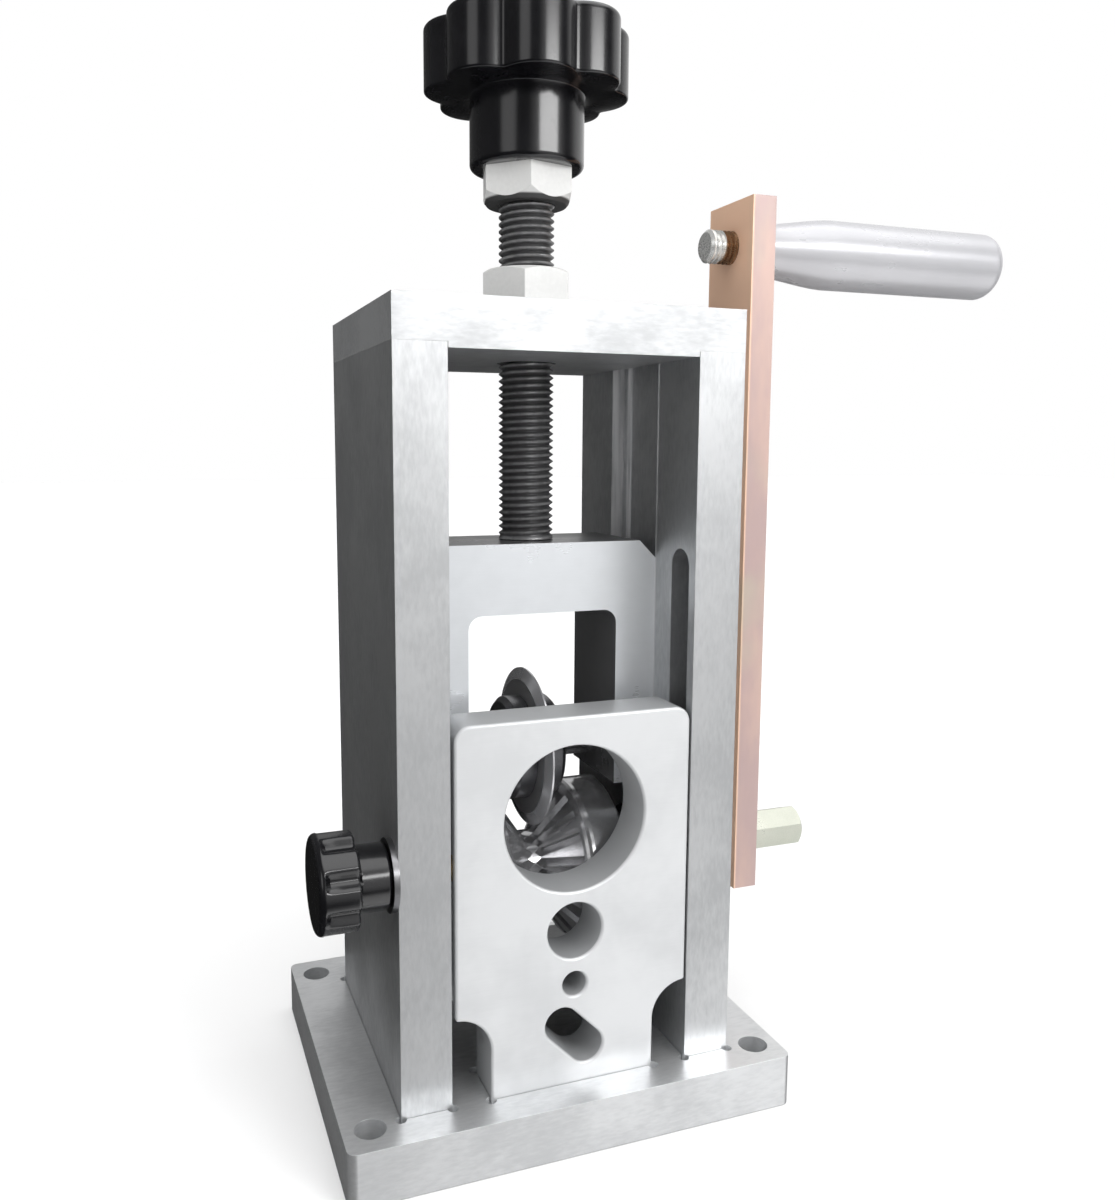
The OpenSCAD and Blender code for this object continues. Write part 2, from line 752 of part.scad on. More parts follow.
module screw_retaining_pins() {
  pin_l = (journal_d + carriage_t) / 2 - face_gap;
  color("dimgray")
  for (sx = [-1, 1])
    translate([sx * retainer_x, frame_y - journal_d / 2, retainer_z])
      rotate([-90, 0, 0])
        cylinder(h = pin_l, d = retainer_d);
}

module blade_axle() {
  color("silver")
  translate([0, frame_y, blade_z])
    x_bar(axle_d, -axle_half, axle_half);
}

module axle_set_screws() {
  color("dimgray")
  for (sx = [-1, 1])
    translate([sx * leg_x, frame_y + axle_d / 2 + fit_clear, blade_z])
      rotate([-90, 0, 0])
        difference() {
          cylinder(h = set_screw_l, d = set_screw_d);
          translate([0, 0, set_screw_l / 2])
            cylinder(h = set_screw_l, d = set_screw_d / 2, $fn = 6);
        }
}

module cutting_blade() {
  rim_half = 0.25;
  color("slategray")
  translate([0, frame_y, blade_z])
  difference() {
    x_turned([[-blade_t / 2, 0], [-blade_t / 2, blade_d / 2 - bevel_w], [-rim_half, blade_d / 2],
              [rim_half, blade_d / 2], [blade_t / 2, blade_d / 2 - bevel_w], [blade_t / 2, 0]]);
    x_bar(bush_d + 2 * fit_clear, -blade_t, blade_t);
    flange_screw_holes(blade_t);
  }
}

// Holes along X for the three screws that clamp the blade
module flange_screw_holes(half) {
  for (i = [0 : 2])
    rotate([i * 120, 0, 0])
      translate([0, 0, flange_screw_r])
        x_bar(flange_screw_d + 2 * fit_clear, -half, half);
}

module blade_flanges() {
  edge = 1.5;
  color("dimgray")
  translate([0, frame_y, blade_z])
  for (side = [0, 1])
    mirror([side, 0, 0])
      difference() {
        x_turned([[blade_t / 2, 0], [blade_t / 2, flange_d / 2], [hub_w / 2 - edge, flange_d / 2],
                  [hub_w / 2, flange_d / 2 - edge], [hub_w / 2, 0]]);
        x_bar(bush_d + 2 * fit_clear, 0, hub_w);
        flange_screw_holes(hub_w);
      }
}

module flange_screws() {
  socket_depth = 0.6 * flange_screw_d;
  color("black")
  translate([0, frame_y, blade_z])
  for (i = [0 : 2])
    rotate([i * 120, 0, 0])
      translate([0, 0, flange_screw_r])
        difference() {
          x_bar(flange_screw_d, -hub_w / 2 + face_gap, hub_w / 2 - face_gap);
          translate([-hub_w / 2, 0, 0])
            rotate([0, 90, 0])
              cylinder(h = socket_depth, d = flange_screw_d / 2, $fn = 6);
        }
}

module blade_bush() {
  color("peru")
  translate([0, frame_y, blade_z])
    x_tube(bush_d, axle_d + 2 * run_clear, -hub_w / 2, hub_w / 2);
}

module axle_clips() {
  color("gray")
  translate([0, frame_y, blade_z])
  for (side = [0, 1])
    mirror([side, 0, 0])
      x_tube(clip_d, axle_d + 2 * fit_clear, hub_w / 2 + face_gap, hub_w / 2 + face_gap + clip_t);
}

// A bottom corner notch of the guide plate, as a cut whose inner upper corner is round
module notch(edge_x, side) {
  inner_edge = edge_x + side * notch_w;
  low = min(edge_x - side * over, inner_edge);
  translate([low, -over, seat_z - over])
    cube([notch_w + over, guide_t + 2 * over, notch_h - notch_w + pocket_depth + over]);
  intersection() {
    translate([edge_x, -over, base_t + notch_h - notch_w])
      rotate([-90, 0, 0])
        cylinder(h = guide_t + 2 * over, r = notch_w);
    translate([low, -2 * over, base_t + notch_h - notch_w - eps])
      cube([notch_w + over, guide_t + 4 * over, notch_w + over]);
  }
}

module guide_plate() {
  pad_low = clamp_z - guide_travel - pad_d / 2 - face_gap;
  pad_high = clamp_z + pad_d / 2 + face_gap;
  color("gainsboro")
  difference() {
    translate([0, front_y, 0])
    difference() {
      union() {
        translate([guide_left, 0, seat_z])
          cube([guide_w, guide_t, guide_top - guide_corner_r - seat_z]);
        translate([guide_left + guide_corner_r, 0, seat_z])
          cube([guide_w - 2 * guide_corner_r, guide_t, guide_top - seat_z]);
        for (x = [guide_left + guide_corner_r, guide_right - guide_corner_r])
          translate([x, 0, guide_top - guide_corner_r])
            rotate([-90, 0, 0])
              cylinder(h = guide_t, r = guide_corner_r);
      }
      notch(guide_left, 1);
      notch(guide_right, -1);
      for (hole = [[hole_a_h, hole_a_d], [hole_b_h, hole_b_d], [hole_c_h, hole_c_d]])
        translate([guide_mid_x, -over, base_t + hole[0]])
          rotate([-90, 0, 0])
            cylinder(h = guide_t + 2 * over, d = hole[1]);
      translate([guide_mid_x, -over, base_t + slot_h])
        rotate([0, slot_angle, 0]) {
          for (sx = [-1, 1])
            translate([sx * slot_l / 2, 0, 0])
              rotate([-90, 0, 0])
                cylinder(h = guide_t + 2 * over, d = slot_w);
          translate([-slot_l / 2, 0, -slot_w / 2])
            cube([slot_l, guide_t + 2 * over, slot_w]);
        }
    }
    translate([guide_left - over, guide_mid_y - pad_d / 2 - slide_clear, pad_low])
      cube([pad_groove + over, pad_d + 2 * slide_clear, pad_high - pad_low]);
    translate([0, pin_y, pin_z])
      x_bar(pin_d + 2 * fit_clear, guide_right - pin_shank_l - face_gap, guide_right + over);
  }
}

module guide_pin() {
  color("silver")
  translate([0, pin_y, pin_z]) {
    x_bar(pin_d, guide_right - pin_shank_l, guide_right + eps);
    x_bar(pin_head_d, guide_right, guide_right + pin_head_l);
  }
}

module clamp_stud() {
  color("silver")
  translate([0, guide_mid_y, clamp_z]) {
    x_bar(stud_d, stud_end_x, pad_back_x);
    x_bar(stud_nose_d, pad_back_x - eps, pad_back_x + stud_nose_l);
  }
}

module clamp_pad() {
  color("goldenrod")
  translate([0, guide_mid_y, clamp_z])
  difference() {
    x_bar(pad_d, pad_back_x, pad_tip_x);
    x_bar(stud_nose_d + 2 * run_clear, pad_back_x - over, pad_back_x + stud_nose_l + face_gap);
  }
}

module clamp_washer() {
  color("silver")
  translate([0, guide_mid_y, clamp_z])
    x_tube(washer_d, stud_d + 2 * run_clear, -frame_w / 2 - washer_t, -frame_w / 2);
}

module clamp_knob() {
  rim = 1.5;
  flute_track = clamp_d / 2 + 0.45 * clamp_flute_r;
  color("black")
  translate([0, guide_mid_y, clamp_z])
  difference() {
    union() {
      x_bar(clamp_collar_d, clamp_base_x - clamp_collar_l - over, clamp_base_x);
      x_bar(clamp_d, clamp_tip_x, clamp_tip_x + clamp_head_l);
    }
    for (i = [0 : clamp_flutes - 1])
      rotate([(i + 0.5) * 360 / clamp_flutes, 0, 0])
        translate([0, 0, flute_track])
          x_bar(2 * clamp_flute_r, clamp_tip_x + rim, clamp_tip_x + clamp_head_l + over);
    x_bar(stud_d + 2 * fit_clear, stud_end_x - face_gap, clamp_base_x + over);
  }
}

// One gap between two teeth, laid along the right half of the vee
module tooth_gap() {
  run = (vee_w - waist_w) / 2;
  rise = (roller_d - waist_d) / 2;
  length = sqrt(run * run + rise * rise) - shoulder_r * tan(vee_slope / 2);
  translate([waist_w / 2, 0, waist_d / 2])
    rotate([0, -vee_slope, 0])
      rotate([45, 0, 0])
        translate([-waist_w / 4, -tooth_depth, -tooth_depth])
          cube([length + waist_w / 4, 2 * tooth_depth, 2 * tooth_depth]);
}

// The right half of the feed roller's outline, from its waist to its end
function roller_half(edge, steps = 4) = concat(
  [[waist_w / 2, waist_d / 2]],
  [for (i = [0 : steps])
    let (turn = 90 + vee_slope * (1 - i / steps))
      [vee_w / 2 + shoulder_r * (tan(vee_slope / 2) + cos(turn)),
       roller_d / 2 - shoulder_r * (1 - sin(turn))]],
  [[roller_w / 2 - edge, roller_d / 2], [roller_w / 2, roller_d / 2 - edge], [roller_w / 2, 0]]);

module feed_roller() {
  right = roller_half(edge = 1);
  last = len(right) - 1;
  left = [for (i = [last : -1 : 0]) [-right[i][0], right[i][1]]];
  color("slategray")
  translate([0, frame_y, shaft_z])
  difference() {
    x_turned(concat(left, right));
    x_bar(shaft_d + 2 * fit_clear, -roller_w, roller_w);
    translate([roller_w / 2 - key_l, -key_w / 2, 0])
      cube([key_l + over, key_w, shaft_d / 2 + key_w / 2]);
    for (i = [0 : roller_teeth - 1])
      rotate([i * 360 / roller_teeth, 0, 0])
        for (side = [0, 1])
          mirror([side, 0, 0])
            tooth_gap();
  }
}

module roller_key() {
  color("gray")
  translate([roller_w / 2 - key_l + fit_clear, frame_y - key_w / 2 + fit_clear,
             shaft_z + shaft_d / 2 - key_w / 2 + fit_clear])
    cube([key_l - 2 * fit_clear, key_w - 2 * fit_clear, key_w - 2 * fit_clear]);
}

module drive_shaft() {
  hex_end = arm_out_x + hex_l;
  hex_r = hex_af / sqrt(3);
  hex_edge = 1;
  color("silver")
  translate([0, frame_y, shaft_z])
  difference() {
    union() {
      x_bar(shaft_d, shaft_left_x, arm_out_x);
      intersection() {
        translate([arm_out_x - eps, 0, 0])
          rotate([0, 90, 0])
            rotate([0, 0, hex_turn])
              cylinder(h = hex_l + eps, r = hex_r, $fn = 6);
        x_turned([[arm_out_x - over, 0], [arm_out_x - over, hex_r + over],
                  [hex_end - hex_edge, hex_r], [hex_end, hex_r - 1.2 * hex_edge], [hex_end, 0]]);
      }
    }
    translate([roller_w / 2 - key_l, -key_w / 2, shaft_d / 2 - key_w / 2])
      cube([key_l, key_w, key_w]);
    x_tube(shaft_d + 2 * over, shaft_d - 2 * ring_groove, -bearing_x - ring_t, -bearing_x);
  }
}

module roller_spacers() {
  color("gray")
  translate([0, frame_y, shaft_z])
  for (side = [0, 1])
    mirror([side, 0, 0])
      x_tube(spacer_d, shaft_d + 2 * fit_clear, roller_w / 2, inner_x);
}

module shaft_ring() {
  color("dimgray")
  translate([0, frame_y, shaft_z])
    x_tube(shaft_d + 2 * ring_out, shaft_d - 2 * ring_groove + 2 * fit_clear,
           -bearing_x - ring_t + fit_clear, -bearing_x - fit_clear);
}

module bearing_outer_rings() {
  color("silver")
  translate([0, frame_y, shaft_z])
  for (side = [0, 1])
    mirror([side, 0, 0])
      x_tube(bearing_d, bearing_outer_bore_d, inner_x, bearing_x);
}

module bearing_inner_rings() {
  color("silver")
  translate([0, frame_y, shaft_z])
  for (side = [0, 1])
    mirror([side, 0, 0])
      x_tube(bearing_inner_d, shaft_d + 2 * fit_clear, inner_x, bearing_x);
}

module bearing_balls() {
  color("white")
  translate([0, frame_y, shaft_z])
  for (side = [-1, 1])
    for (i = [0 : bearing_balls_n - 1])
      rotate([i * 360 / bearing_balls_n, 0, 0])
        translate([side * (inner_x + bearing_w / 2), 0, ball_track_r])
          sphere(r = ball_r, $fn = 24);
}

module crank_spacer() {
  color("silver")
  translate([0, frame_y, shaft_z])
    x_tube(spacer_d, shaft_d + 2 * fit_clear, bearing_x, arm_x);
}

module crank_arm() {
  color("rosybrown")
  difference() {
    translate([arm_x, frame_y - arm_w / 2, shaft_z - arm_end])
      cube([arm_t, arm_w, crank_throw + 2 * arm_end]);
    translate([0, frame_y, shaft_z])
      x_bar(shaft_d + 2 * fit_clear, arm_x - over, arm_out_x + over);
    translate([0, frame_y, handle_z])
      x_bar(stub_d + 2 * fit_clear, arm_x - over, arm_out_x + over);
    translate([arm_x + arm_t / 2, frame_y, shaft_z - arm_end - over])
      cylinder(h = arm_end + over, d = set_screw_d + 2 * fit_clear);
  }
}

module crank_set_screw() {
  length = arm_end - shaft_d / 2 - face_gap;
  color("dimgray")
  translate([arm_x + arm_t / 2, frame_y, shaft_z - shaft_d / 2 - fit_clear - length])
  difference() {
    cylinder(h = length, d = set_screw_d);
    translate([0, 0, -over])
      cylinder(h = length / 2 + over, d = set_screw_d / 2, $fn = 6);
  }
}

module handle_spindle() {
  edge = 1;
  stub_x = arm_x - stub_l;
  collar_x = arm_out_x + spindle_collar_t;
  groove_r = spindle_d / 2 - ring_groove;
  color("silver")
  translate([0, frame_y, handle_z])
  x_turned([[stub_x, 0], [stub_x, stub_d / 2 - edge], [stub_x + edge, stub_d / 2],
            [arm_out_x, stub_d / 2], [arm_out_x, grip_neck_d / 2],
            [collar_x, grip_neck_d / 2], [collar_x, spindle_d / 2],
            [snap_ring_x, spindle_d / 2], [snap_ring_x, groove_r],
            [snap_ring_x + ring_t, groove_r], [snap_ring_x + ring_t, spindle_d / 2],
            [spindle_end_x, spindle_d / 2], [spindle_end_x, 0]]);
}

module handle_grip() {
  x2 = grip_x + grip_l;
  taper_mid_r = (grip_neck_d + 2 * grip_d) / 6;
  color("lightgray")
  translate([0, frame_y, handle_z])
  difference() {
    union() {
      x_turned([[grip_x, 0], [grip_x, grip_neck_d / 2], [grip_x + grip_taper_l / 2, taper_mid_r],
                [grip_x + grip_taper_l, grip_d / 2], [x2 - grip_end_r, grip_d / 2],
                [x2 - grip_end_r, 0]]);
      x_bar(grip_d - 2 * grip_end_r, x2 - grip_end_r - over, x2);
      translate([x2 - grip_end_r, 0, 0])
        rotate([0, 90, 0])
          rotate_extrude()
            translate([grip_d / 2 - grip_end_r, 0])
              intersection() {
                circle(r = grip_end_r);
                square(grip_end_r + over);
              }
    }
    x_bar(spindle_d + 2 * run_clear, grip_x - over, x2 + over);
    x_bar(cap_bore_d, x2 - cap_bore_l, x2 + over);
  }
}

module grip_snap_ring() {
  color("dimgray")
  translate([0, frame_y, handle_z])
    x_tube(spindle_d + 2 * ring_out, spindle_d - 2 * ring_groove + 2 * fit_clear,
           snap_ring_x + fit_clear, snap_ring_x + ring_t - fit_clear);
}

module grip_end_cap() {
  x2 = grip_x + grip_l;
  color("lightgray")
  translate([0, frame_y, handle_z])
    x_bar(cap_bore_d - 2 * fit_clear, x2 - cap_t, x2);
}

base_plate();
base_screws();
left_side_plate();
right_side_plate();
top_plate();
top_plate_screws();
drive_nut();
depth_screw();
knob_lock_nut();
star_knob();
knob_insert();
carriage();
screw_retaining_pins();
blade_axle();
axle_set_screws();
cutting_blade();
blade_flanges();
flange_screws();
blade_bush();
axle_clips();
guide_plate();
guide_pin();
clamp_knob();
clamp_stud();
clamp_pad();
clamp_washer();
feed_roller();
drive_shaft();
roller_key();
roller_spacers();
shaft_ring();
bearing_outer_rings();
bearing_inner_rings();
bearing_balls();
crank_spacer();
crank_arm();
crank_set_screw();
handle_spindle();
handle_grip();
grip_snap_ring();
grip_end_cap();
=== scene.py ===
"""Hand crank wire stripper: detailed pieces, finishes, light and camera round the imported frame."""
from __future__ import annotations

import json
import logging
import math
from dataclasses import dataclass
from enum import Enum
from typing import Callable, Sequence

import bmesh
import bpy
from mathutils import Matrix, Vector

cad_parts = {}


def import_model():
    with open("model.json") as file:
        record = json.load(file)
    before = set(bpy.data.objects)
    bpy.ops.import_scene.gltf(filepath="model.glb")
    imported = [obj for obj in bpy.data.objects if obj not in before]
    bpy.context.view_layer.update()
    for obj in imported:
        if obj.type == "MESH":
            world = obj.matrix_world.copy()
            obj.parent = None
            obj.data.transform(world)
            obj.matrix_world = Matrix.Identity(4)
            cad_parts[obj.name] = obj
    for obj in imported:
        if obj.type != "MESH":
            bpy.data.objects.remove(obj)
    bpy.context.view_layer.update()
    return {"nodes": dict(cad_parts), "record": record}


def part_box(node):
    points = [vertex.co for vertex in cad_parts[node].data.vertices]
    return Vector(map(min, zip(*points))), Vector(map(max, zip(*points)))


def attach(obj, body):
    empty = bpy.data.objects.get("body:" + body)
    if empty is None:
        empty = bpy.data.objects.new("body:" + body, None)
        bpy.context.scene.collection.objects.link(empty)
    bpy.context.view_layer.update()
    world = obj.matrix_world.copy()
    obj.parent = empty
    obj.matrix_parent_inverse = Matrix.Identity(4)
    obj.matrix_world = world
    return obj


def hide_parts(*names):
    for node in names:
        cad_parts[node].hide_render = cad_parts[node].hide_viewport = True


LOG = logging.getLogger("wire_stripper")
MM = 0.001
TAU = 2 * math.pi

Point = tuple[float, float, float]
Colour = tuple[float, float, float]
Box = tuple[Point, Point]
Span = tuple[float, float]
Station = tuple[float, float]
Socket = bpy.types.NodeSocket

RISING: Span = (0.0, 1.0)
FALLING: Span = (1.0, 0.0)
WHITE = (1.0, 1.0, 1.0, 1.0)
BLACK = (0.0, 0.0, 0.0, 1.0)
THREAD_CREASE = 50.0
MOULDED_CREASE = 40.0


class Axis(Enum):
    """The two directions that turned pieces are laid along."""

    X = "x"
    Z = "z"


class Grain(Enum):
    """How a surface's machining marks run, as stretch factors along X, Y and Z."""

    ALONG_X = (0.06, 1.0, 1.0)
    ALONG_Z = (1.0, 1.0, 0.06)
    MILLED_X = (0.30, 1.0, 1.0)
    MILLED_Z = (1.0, 1.0, 0.30)
    RUBBED_Z = (1.0, 1.0, 0.05)
    NONE = (1.0, 1.0, 1.0)


@dataclass(frozen=True)
class Noise:
    """A noise pattern: its features for each metre, its finer layers and their strength."""

    scale: float
    detail: float = 3.0
    rough: float = 0.55


class Nodes:
    """A node tree with short calls that add and join nodes."""

    def __init__(self, tree: bpy.types.NodeTree) -> None:
        """Empties a node tree to build in.

        Args:
            tree: The tree.
        """
        self.tree = tree
        self.tree.nodes.clear()

    def add(self, kind: str, **settings: object) -> bpy.types.Node:
        """Adds a node.

        Args:
            kind: The node's type name.
            **settings: Properties to set on the node.

        Returns:
            The new node.
        """
        node = self.tree.nodes.new(kind)
        for key, value in settings.items():
            setattr(node, key, value)
        return node

    def join(self, start: Socket, end: Socket) -> None:
        """Joins an output to an input."""
        self.tree.links.new(start, end)

    def ranged(self, value: Socket, span: Span, onto: Span = RISING) -> Socket:
        """Maps a value from one range to another, smoothly and clamped.

        Args:
            value: The value to map.
            span: The two ends of the range it has.
            onto: What those two ends become.

        Returns:
            The mapped value output.
        """
        node = self.add("ShaderNodeMapRange", interpolation_type="SMOOTHSTEP")
        for key, number in zip(("From Min", "From Max", "To Min", "To Max"), (*span, *onto)):
            node.inputs[key].default_value = number
        self.join(value, node.inputs["Value"])
        return node.outputs["Result"]

    def math(self, operation: str, first: Socket | float, second: Socket | float = 0.0) -> Socket:
        """Works out one sum of two values.

        Args:
            operation: The operation's name.
            first: The first value or output.
            second: The second value or output, where the operation takes one.

        Returns:
            The result's output.
        """
        node = self.add("ShaderNodeMath", operation=operation)
        for socket, source in zip(node.inputs, (first, second)):
            if isinstance(source, (int, float)):
                socket.default_value = source
            else:
                self.join(source, socket)
        return node.outputs[0]

    def product(self, first: Socket | float, second: Socket | float) -> Socket:
        """Multiplies two values."""
        return self.math("MULTIPLY", first, second)


class Sheet(Nodes):
    """A material's node tree with calls for patterns, places and finishes."""

    sideways: Span = (0.2, 0.35)
    box_soft: float = 0.0003

    def __init__(self, name: str) -> None:
        """Makes an empty node material with its output and main shader.

        Args:
            name: The material's name.
        """
        self.material = bpy.data.materials.new(name)
        self.material.use_nodes = True
        super().__init__(self.material.node_tree)
        output = self.add("ShaderNodeOutputMaterial")
        self.shader = self.add("ShaderNodeBsdfPrincipled")
        self.join(self.shader.outputs["BSDF"], output.inputs["Surface"])
        self.place = self.add("ShaderNodeTexCoord").outputs["Object"]

    def scaled(self, factors: Point, turn: Point = (0.0, 0.0, 0.0)) -> Socket:
        """Gives the object's coordinates, turned and stretched.

        Args:
            factors: Stretch along X, Y and Z.
            turn: Turn about X, Y and Z in radians.

        Returns:
            The vector output.
        """
        mapping = self.add("ShaderNodeMapping")
        mapping.inputs["Scale"].default_value = factors
        mapping.inputs["Rotation"].default_value = turn
        self.join(self.place, mapping.inputs["Vector"])
        return mapping.outputs["Vector"]

    def noise(self, vector: Socket, pattern: Noise) -> Socket:
        """Adds a noise pattern.

        Args:
            vector: Where the pattern takes its coordinates from.
            pattern: The pattern's measures.

        Returns:
            The pattern's value output.
        """
        node = self.add("ShaderNodeTexNoise")
        node.inputs["Scale"].default_value = pattern.scale
        node.inputs["Detail"].default_value = pattern.detail
        node.inputs["Roughness"].default_value = pattern.rough
        self.join(vector, node.inputs["Vector"])
        return node.outputs["Fac"]

    def mixed(self, factor: Socket, first: Colour | Socket, second: Colour | Socket) -> Socket:
        """Mixes two colours.

        Args:
            factor: Share of the second colour.
            first: The first colour, or an output that gives it.
            second: The second colour, or an output that gives it.

        Returns:
            The mixed colour output.
        """
        node = self.add("ShaderNodeMix", data_type="RGBA")
        self.join(factor, node.inputs[0])
        for socket, source in ((node.inputs[6], first), (node.inputs[7], second)):
            if isinstance(source, tuple):
                socket.default_value = (*source, 1.0)
            else:
                self.join(source, socket)
        return node.outputs[2]

    def bump(self, height: Socket, depth: float) -> None:
        """Raises the surface by a pattern.

        Args:
            height: The pattern.
            depth: Height of the pattern in metres.
        """
        node = self.add("ShaderNodeBump")
        node.inputs["Strength"].default_value = 1.0
        node.inputs["Distance"].default_value = depth
        self.join(height, node.inputs["Height"])
        self.join(node.outputs["Normal"], self.shader.inputs["Normal"])

    def split(self, vector: Socket, letter: str) -> Socket:
        """Gives one part of a vector.

        Args:
            vector: The vector.
            letter: The part, as X, Y or Z.

        Returns:
            That part's output.
        """
        node = self.add("ShaderNodeSeparateXYZ")
        self.join(vector, node.inputs[0])
        return node.outputs[letter]

    def along(self, letter: str) -> Socket:
        """Gives the place along an axis in metres."""
        return self.split(self.place, letter)

    def facing(self, letter: str) -> Socket:
        """Gives how squarely the surface looks along an axis."""
        return self.split(self.add("ShaderNodeNewGeometry").outputs["True Normal"], letter)

    def turned_from_y(self) -> Socket:
        """Gives 1 where the surface looks neither to the front nor to the back."""
        return self.ranged(self.math("ABSOLUTE", self.facing("Y")), self.sideways, FALLING)

    def within(self, box: Box) -> Socket:
        """Gives 1 inside a box on the right side, or inside its mirror image on the left, and 0 elsewhere.

        Args:
            box: The two corners of the box on the right side.

        Returns:
            The share, from 0 to 1.
        """
        share: Socket | float = 1.0
        for letter, start, end in zip("XYZ", *box):
            place = self.along(letter)
            if letter == "X":
                place = self.math("ABSOLUTE", place)
            share = self.product(share, self.ranged(place, (start - self.box_soft, start)))
            share = self.product(share, self.ranged(place, (end, end + self.box_soft), FALLING))
        return share

    def radius_from(self, axis: Axis, centre: Point) -> Socket:
        """Gives the distance from a line along an axis.

        Args:
            axis: The line's direction.
            centre: A point on the line.

        Returns:
            The distance output, in metres.
        """
        shift = self.add("ShaderNodeVectorMath", operation="SUBTRACT")
        shift.inputs[1].default_value = centre
        self.join(self.place, shift.inputs[0])
        flat = self.add("ShaderNodeVectorMath", operation="MULTIPLY")
        flat.inputs[1].default_value = (0.0, 1.0, 1.0) if axis is Axis.X else (1.0, 1.0, 0.0)
        self.join(shift.outputs[0], flat.inputs[0])
        length = self.add("ShaderNodeVectorMath", operation="LENGTH")
        self.join(flat.outputs[0], length.inputs[0])
        return length.outputs["Value"]

    def fixed(self, **values: float) -> None:
        """Sets constant numbers on the main shader's own sockets."""
        for key, value in values.items():
            self.shader.inputs[key.replace("_", " ").title().replace("Ior", "IOR")].default_value = value

    def painted(self, colour: Socket, roughness: Socket) -> bpy.types.Material:
        """Joins a colour and a roughness to the shader.

        Args:
            colour: The colour's output.
            roughness: The roughness's output.

        Returns:
            The finished material.
        """
        self.join(colour, self.shader.inputs["Base Color"])
        self.join(roughness, self.shader.inputs["Roughness"])
        return self.material


@dataclass(frozen=True)
class MachinedMetal:
    """A metal surface with machining marks, a soft cloudiness and uneven gloss.

    Where it is asked for, shade is painted onto faces turned from the front and back, such as bores and
    tops, onto downward faces near a foot and onto a slot's walls. Tracks are rubbed bright by the piece that
    slides there, and a place is tinted brown.
    """

    name: str
    light: Colour
    dark: Colour
    roughness: float
    spread: float = 0.10
    grain: Grain = Grain.NONE
    slant: float = 0.0
    mark_scale: float = 2600.0
    mark_depth: float = 0.000012
    mark_share: float = 0.3
    metallic: float = 1.0
    # Painted shade: colour for faces turned from the front and back, such as bores, tops and window walls.
    painted_side_shade: Colour | None = None
    # Painted shade: a box whose walls turned from the front and back take the slot colour.
    painted_shade_slot: Box | None = None
    rubbed: tuple[Box, ...] = ()
    # Painted shade: colour for downward faces below a height, such as a nut's foot chamfer.
    painted_under_shade: Colour | None = None
    under_shade_below: float = 0.0
    # A box whose surface is tinted brown.
    brown_box: Box | None = None
    brown_tint: Colour = (0.30, 0.17, 0.09)
    slot_painted_shade: Colour = (0.20, 0.20, 0.205)
    rubbed_colour: Colour = (0.80, 0.80, 0.81)
    rubbed_dulling: float = 0.6
    clouds: Noise = Noise(28.0, 4.0, 0.6)
    streaks: Noise = Noise(900.0)
    colour_span: Span = (0.36, 0.64)
    gloss_span: Span = (0.35, 0.65)
    streak_span: Span = (0.35, 0.60)
    streak_share: Span = (0.35, 1.0)
    looks_down: Span = (-0.5, -0.3)
    under_shade_soft: float = 0.6 * MM

    def material(self) -> bpy.types.Material:
        """Builds the material.

        Returns:
            The finished material.
        """
        sheet = Sheet(self.name)
        marks = sheet.noise(sheet.scaled(self.grain.value, (self.slant,) * 3), Noise(self.mark_scale))
        clouds = sheet.noise(sheet.place, self.clouds)
        shade = sheet.math("ADD", sheet.product(marks, self.mark_share),
                           sheet.product(clouds, 1.0 - self.mark_share))
        colour = sheet.mixed(sheet.ranged(shade, self.colour_span), self.dark, self.light)
        colour = self.brightened(sheet, self.darkened(sheet, colour))
        # Tints the surface inside the box brown.
        if self.brown_box is not None:
            colour = sheet.mixed(sheet.within(self.brown_box), colour, self.brown_tint)
        if self.mark_depth > 0:
            sheet.bump(marks, self.mark_depth)
        uneven = (self.roughness + self.spread, self.roughness - self.spread / 2)
        return sheet.painted(colour, sheet.ranged(shade, self.gloss_span, uneven))

    def darkened(self, sheet: Sheet, colour: Socket) -> Socket:
        """Paints shade onto side faces and bores, a downward foot and a slot, where the finish has them.

        Args:
            sheet: The material's node tree.
            colour: The colour so far.

        Returns:
            The colour with the dark places.
        """
        # Painted shade: faces turned from the front and back take a darker colour.
        if self.painted_side_shade is not None:
            colour = sheet.mixed(sheet.turned_from_y(), colour, self.painted_side_shade)
        # Painted shade: downward faces below the given height are darkened.
        if self.painted_under_shade is not None:
            edge = (self.under_shade_below - self.under_shade_soft, self.under_shade_below)
            low = sheet.ranged(sheet.along("Z"), edge, FALLING)
            down = sheet.ranged(sheet.facing("Z"), self.looks_down, FALLING)
            colour = sheet.mixed(sheet.product(low, down), colour, self.painted_under_shade)
        # Painted shade: walls inside the slot box turned from the front and back are darkened.
        if self.painted_shade_slot is not None:
            shaded = sheet.product(sheet.within(self.painted_shade_slot), sheet.turned_from_y())
            colour = sheet.mixed(shaded, colour, self.slot_painted_shade)
        return colour

    def brightened(self, sheet: Sheet, colour: Socket) -> Socket:
        """Brightens the rubbed tracks, and sets how metallic the surface is.

        Args:
            sheet: The material's node tree.
            colour: The colour so far.

        Returns:
            The colour with the tracks.
        """
        if not self.rubbed:
            sheet.fixed(metallic=self.metallic)
            return colour
        metallic: Socket | float = self.metallic
        streaks = sheet.ranged(sheet.noise(sheet.scaled(Grain.RUBBED_Z.value), self.streaks),
                               self.streak_span, self.streak_share)
        for track in self.rubbed:
            share = sheet.product(sheet.within(track), streaks)
            colour = sheet.mixed(share, colour, self.rubbed_colour)
            metallic = sheet.math("SUBTRACT", metallic, sheet.product(share, self.rubbed_dulling))
        sheet.join(metallic, sheet.shader.inputs["Metallic"])
        return colour


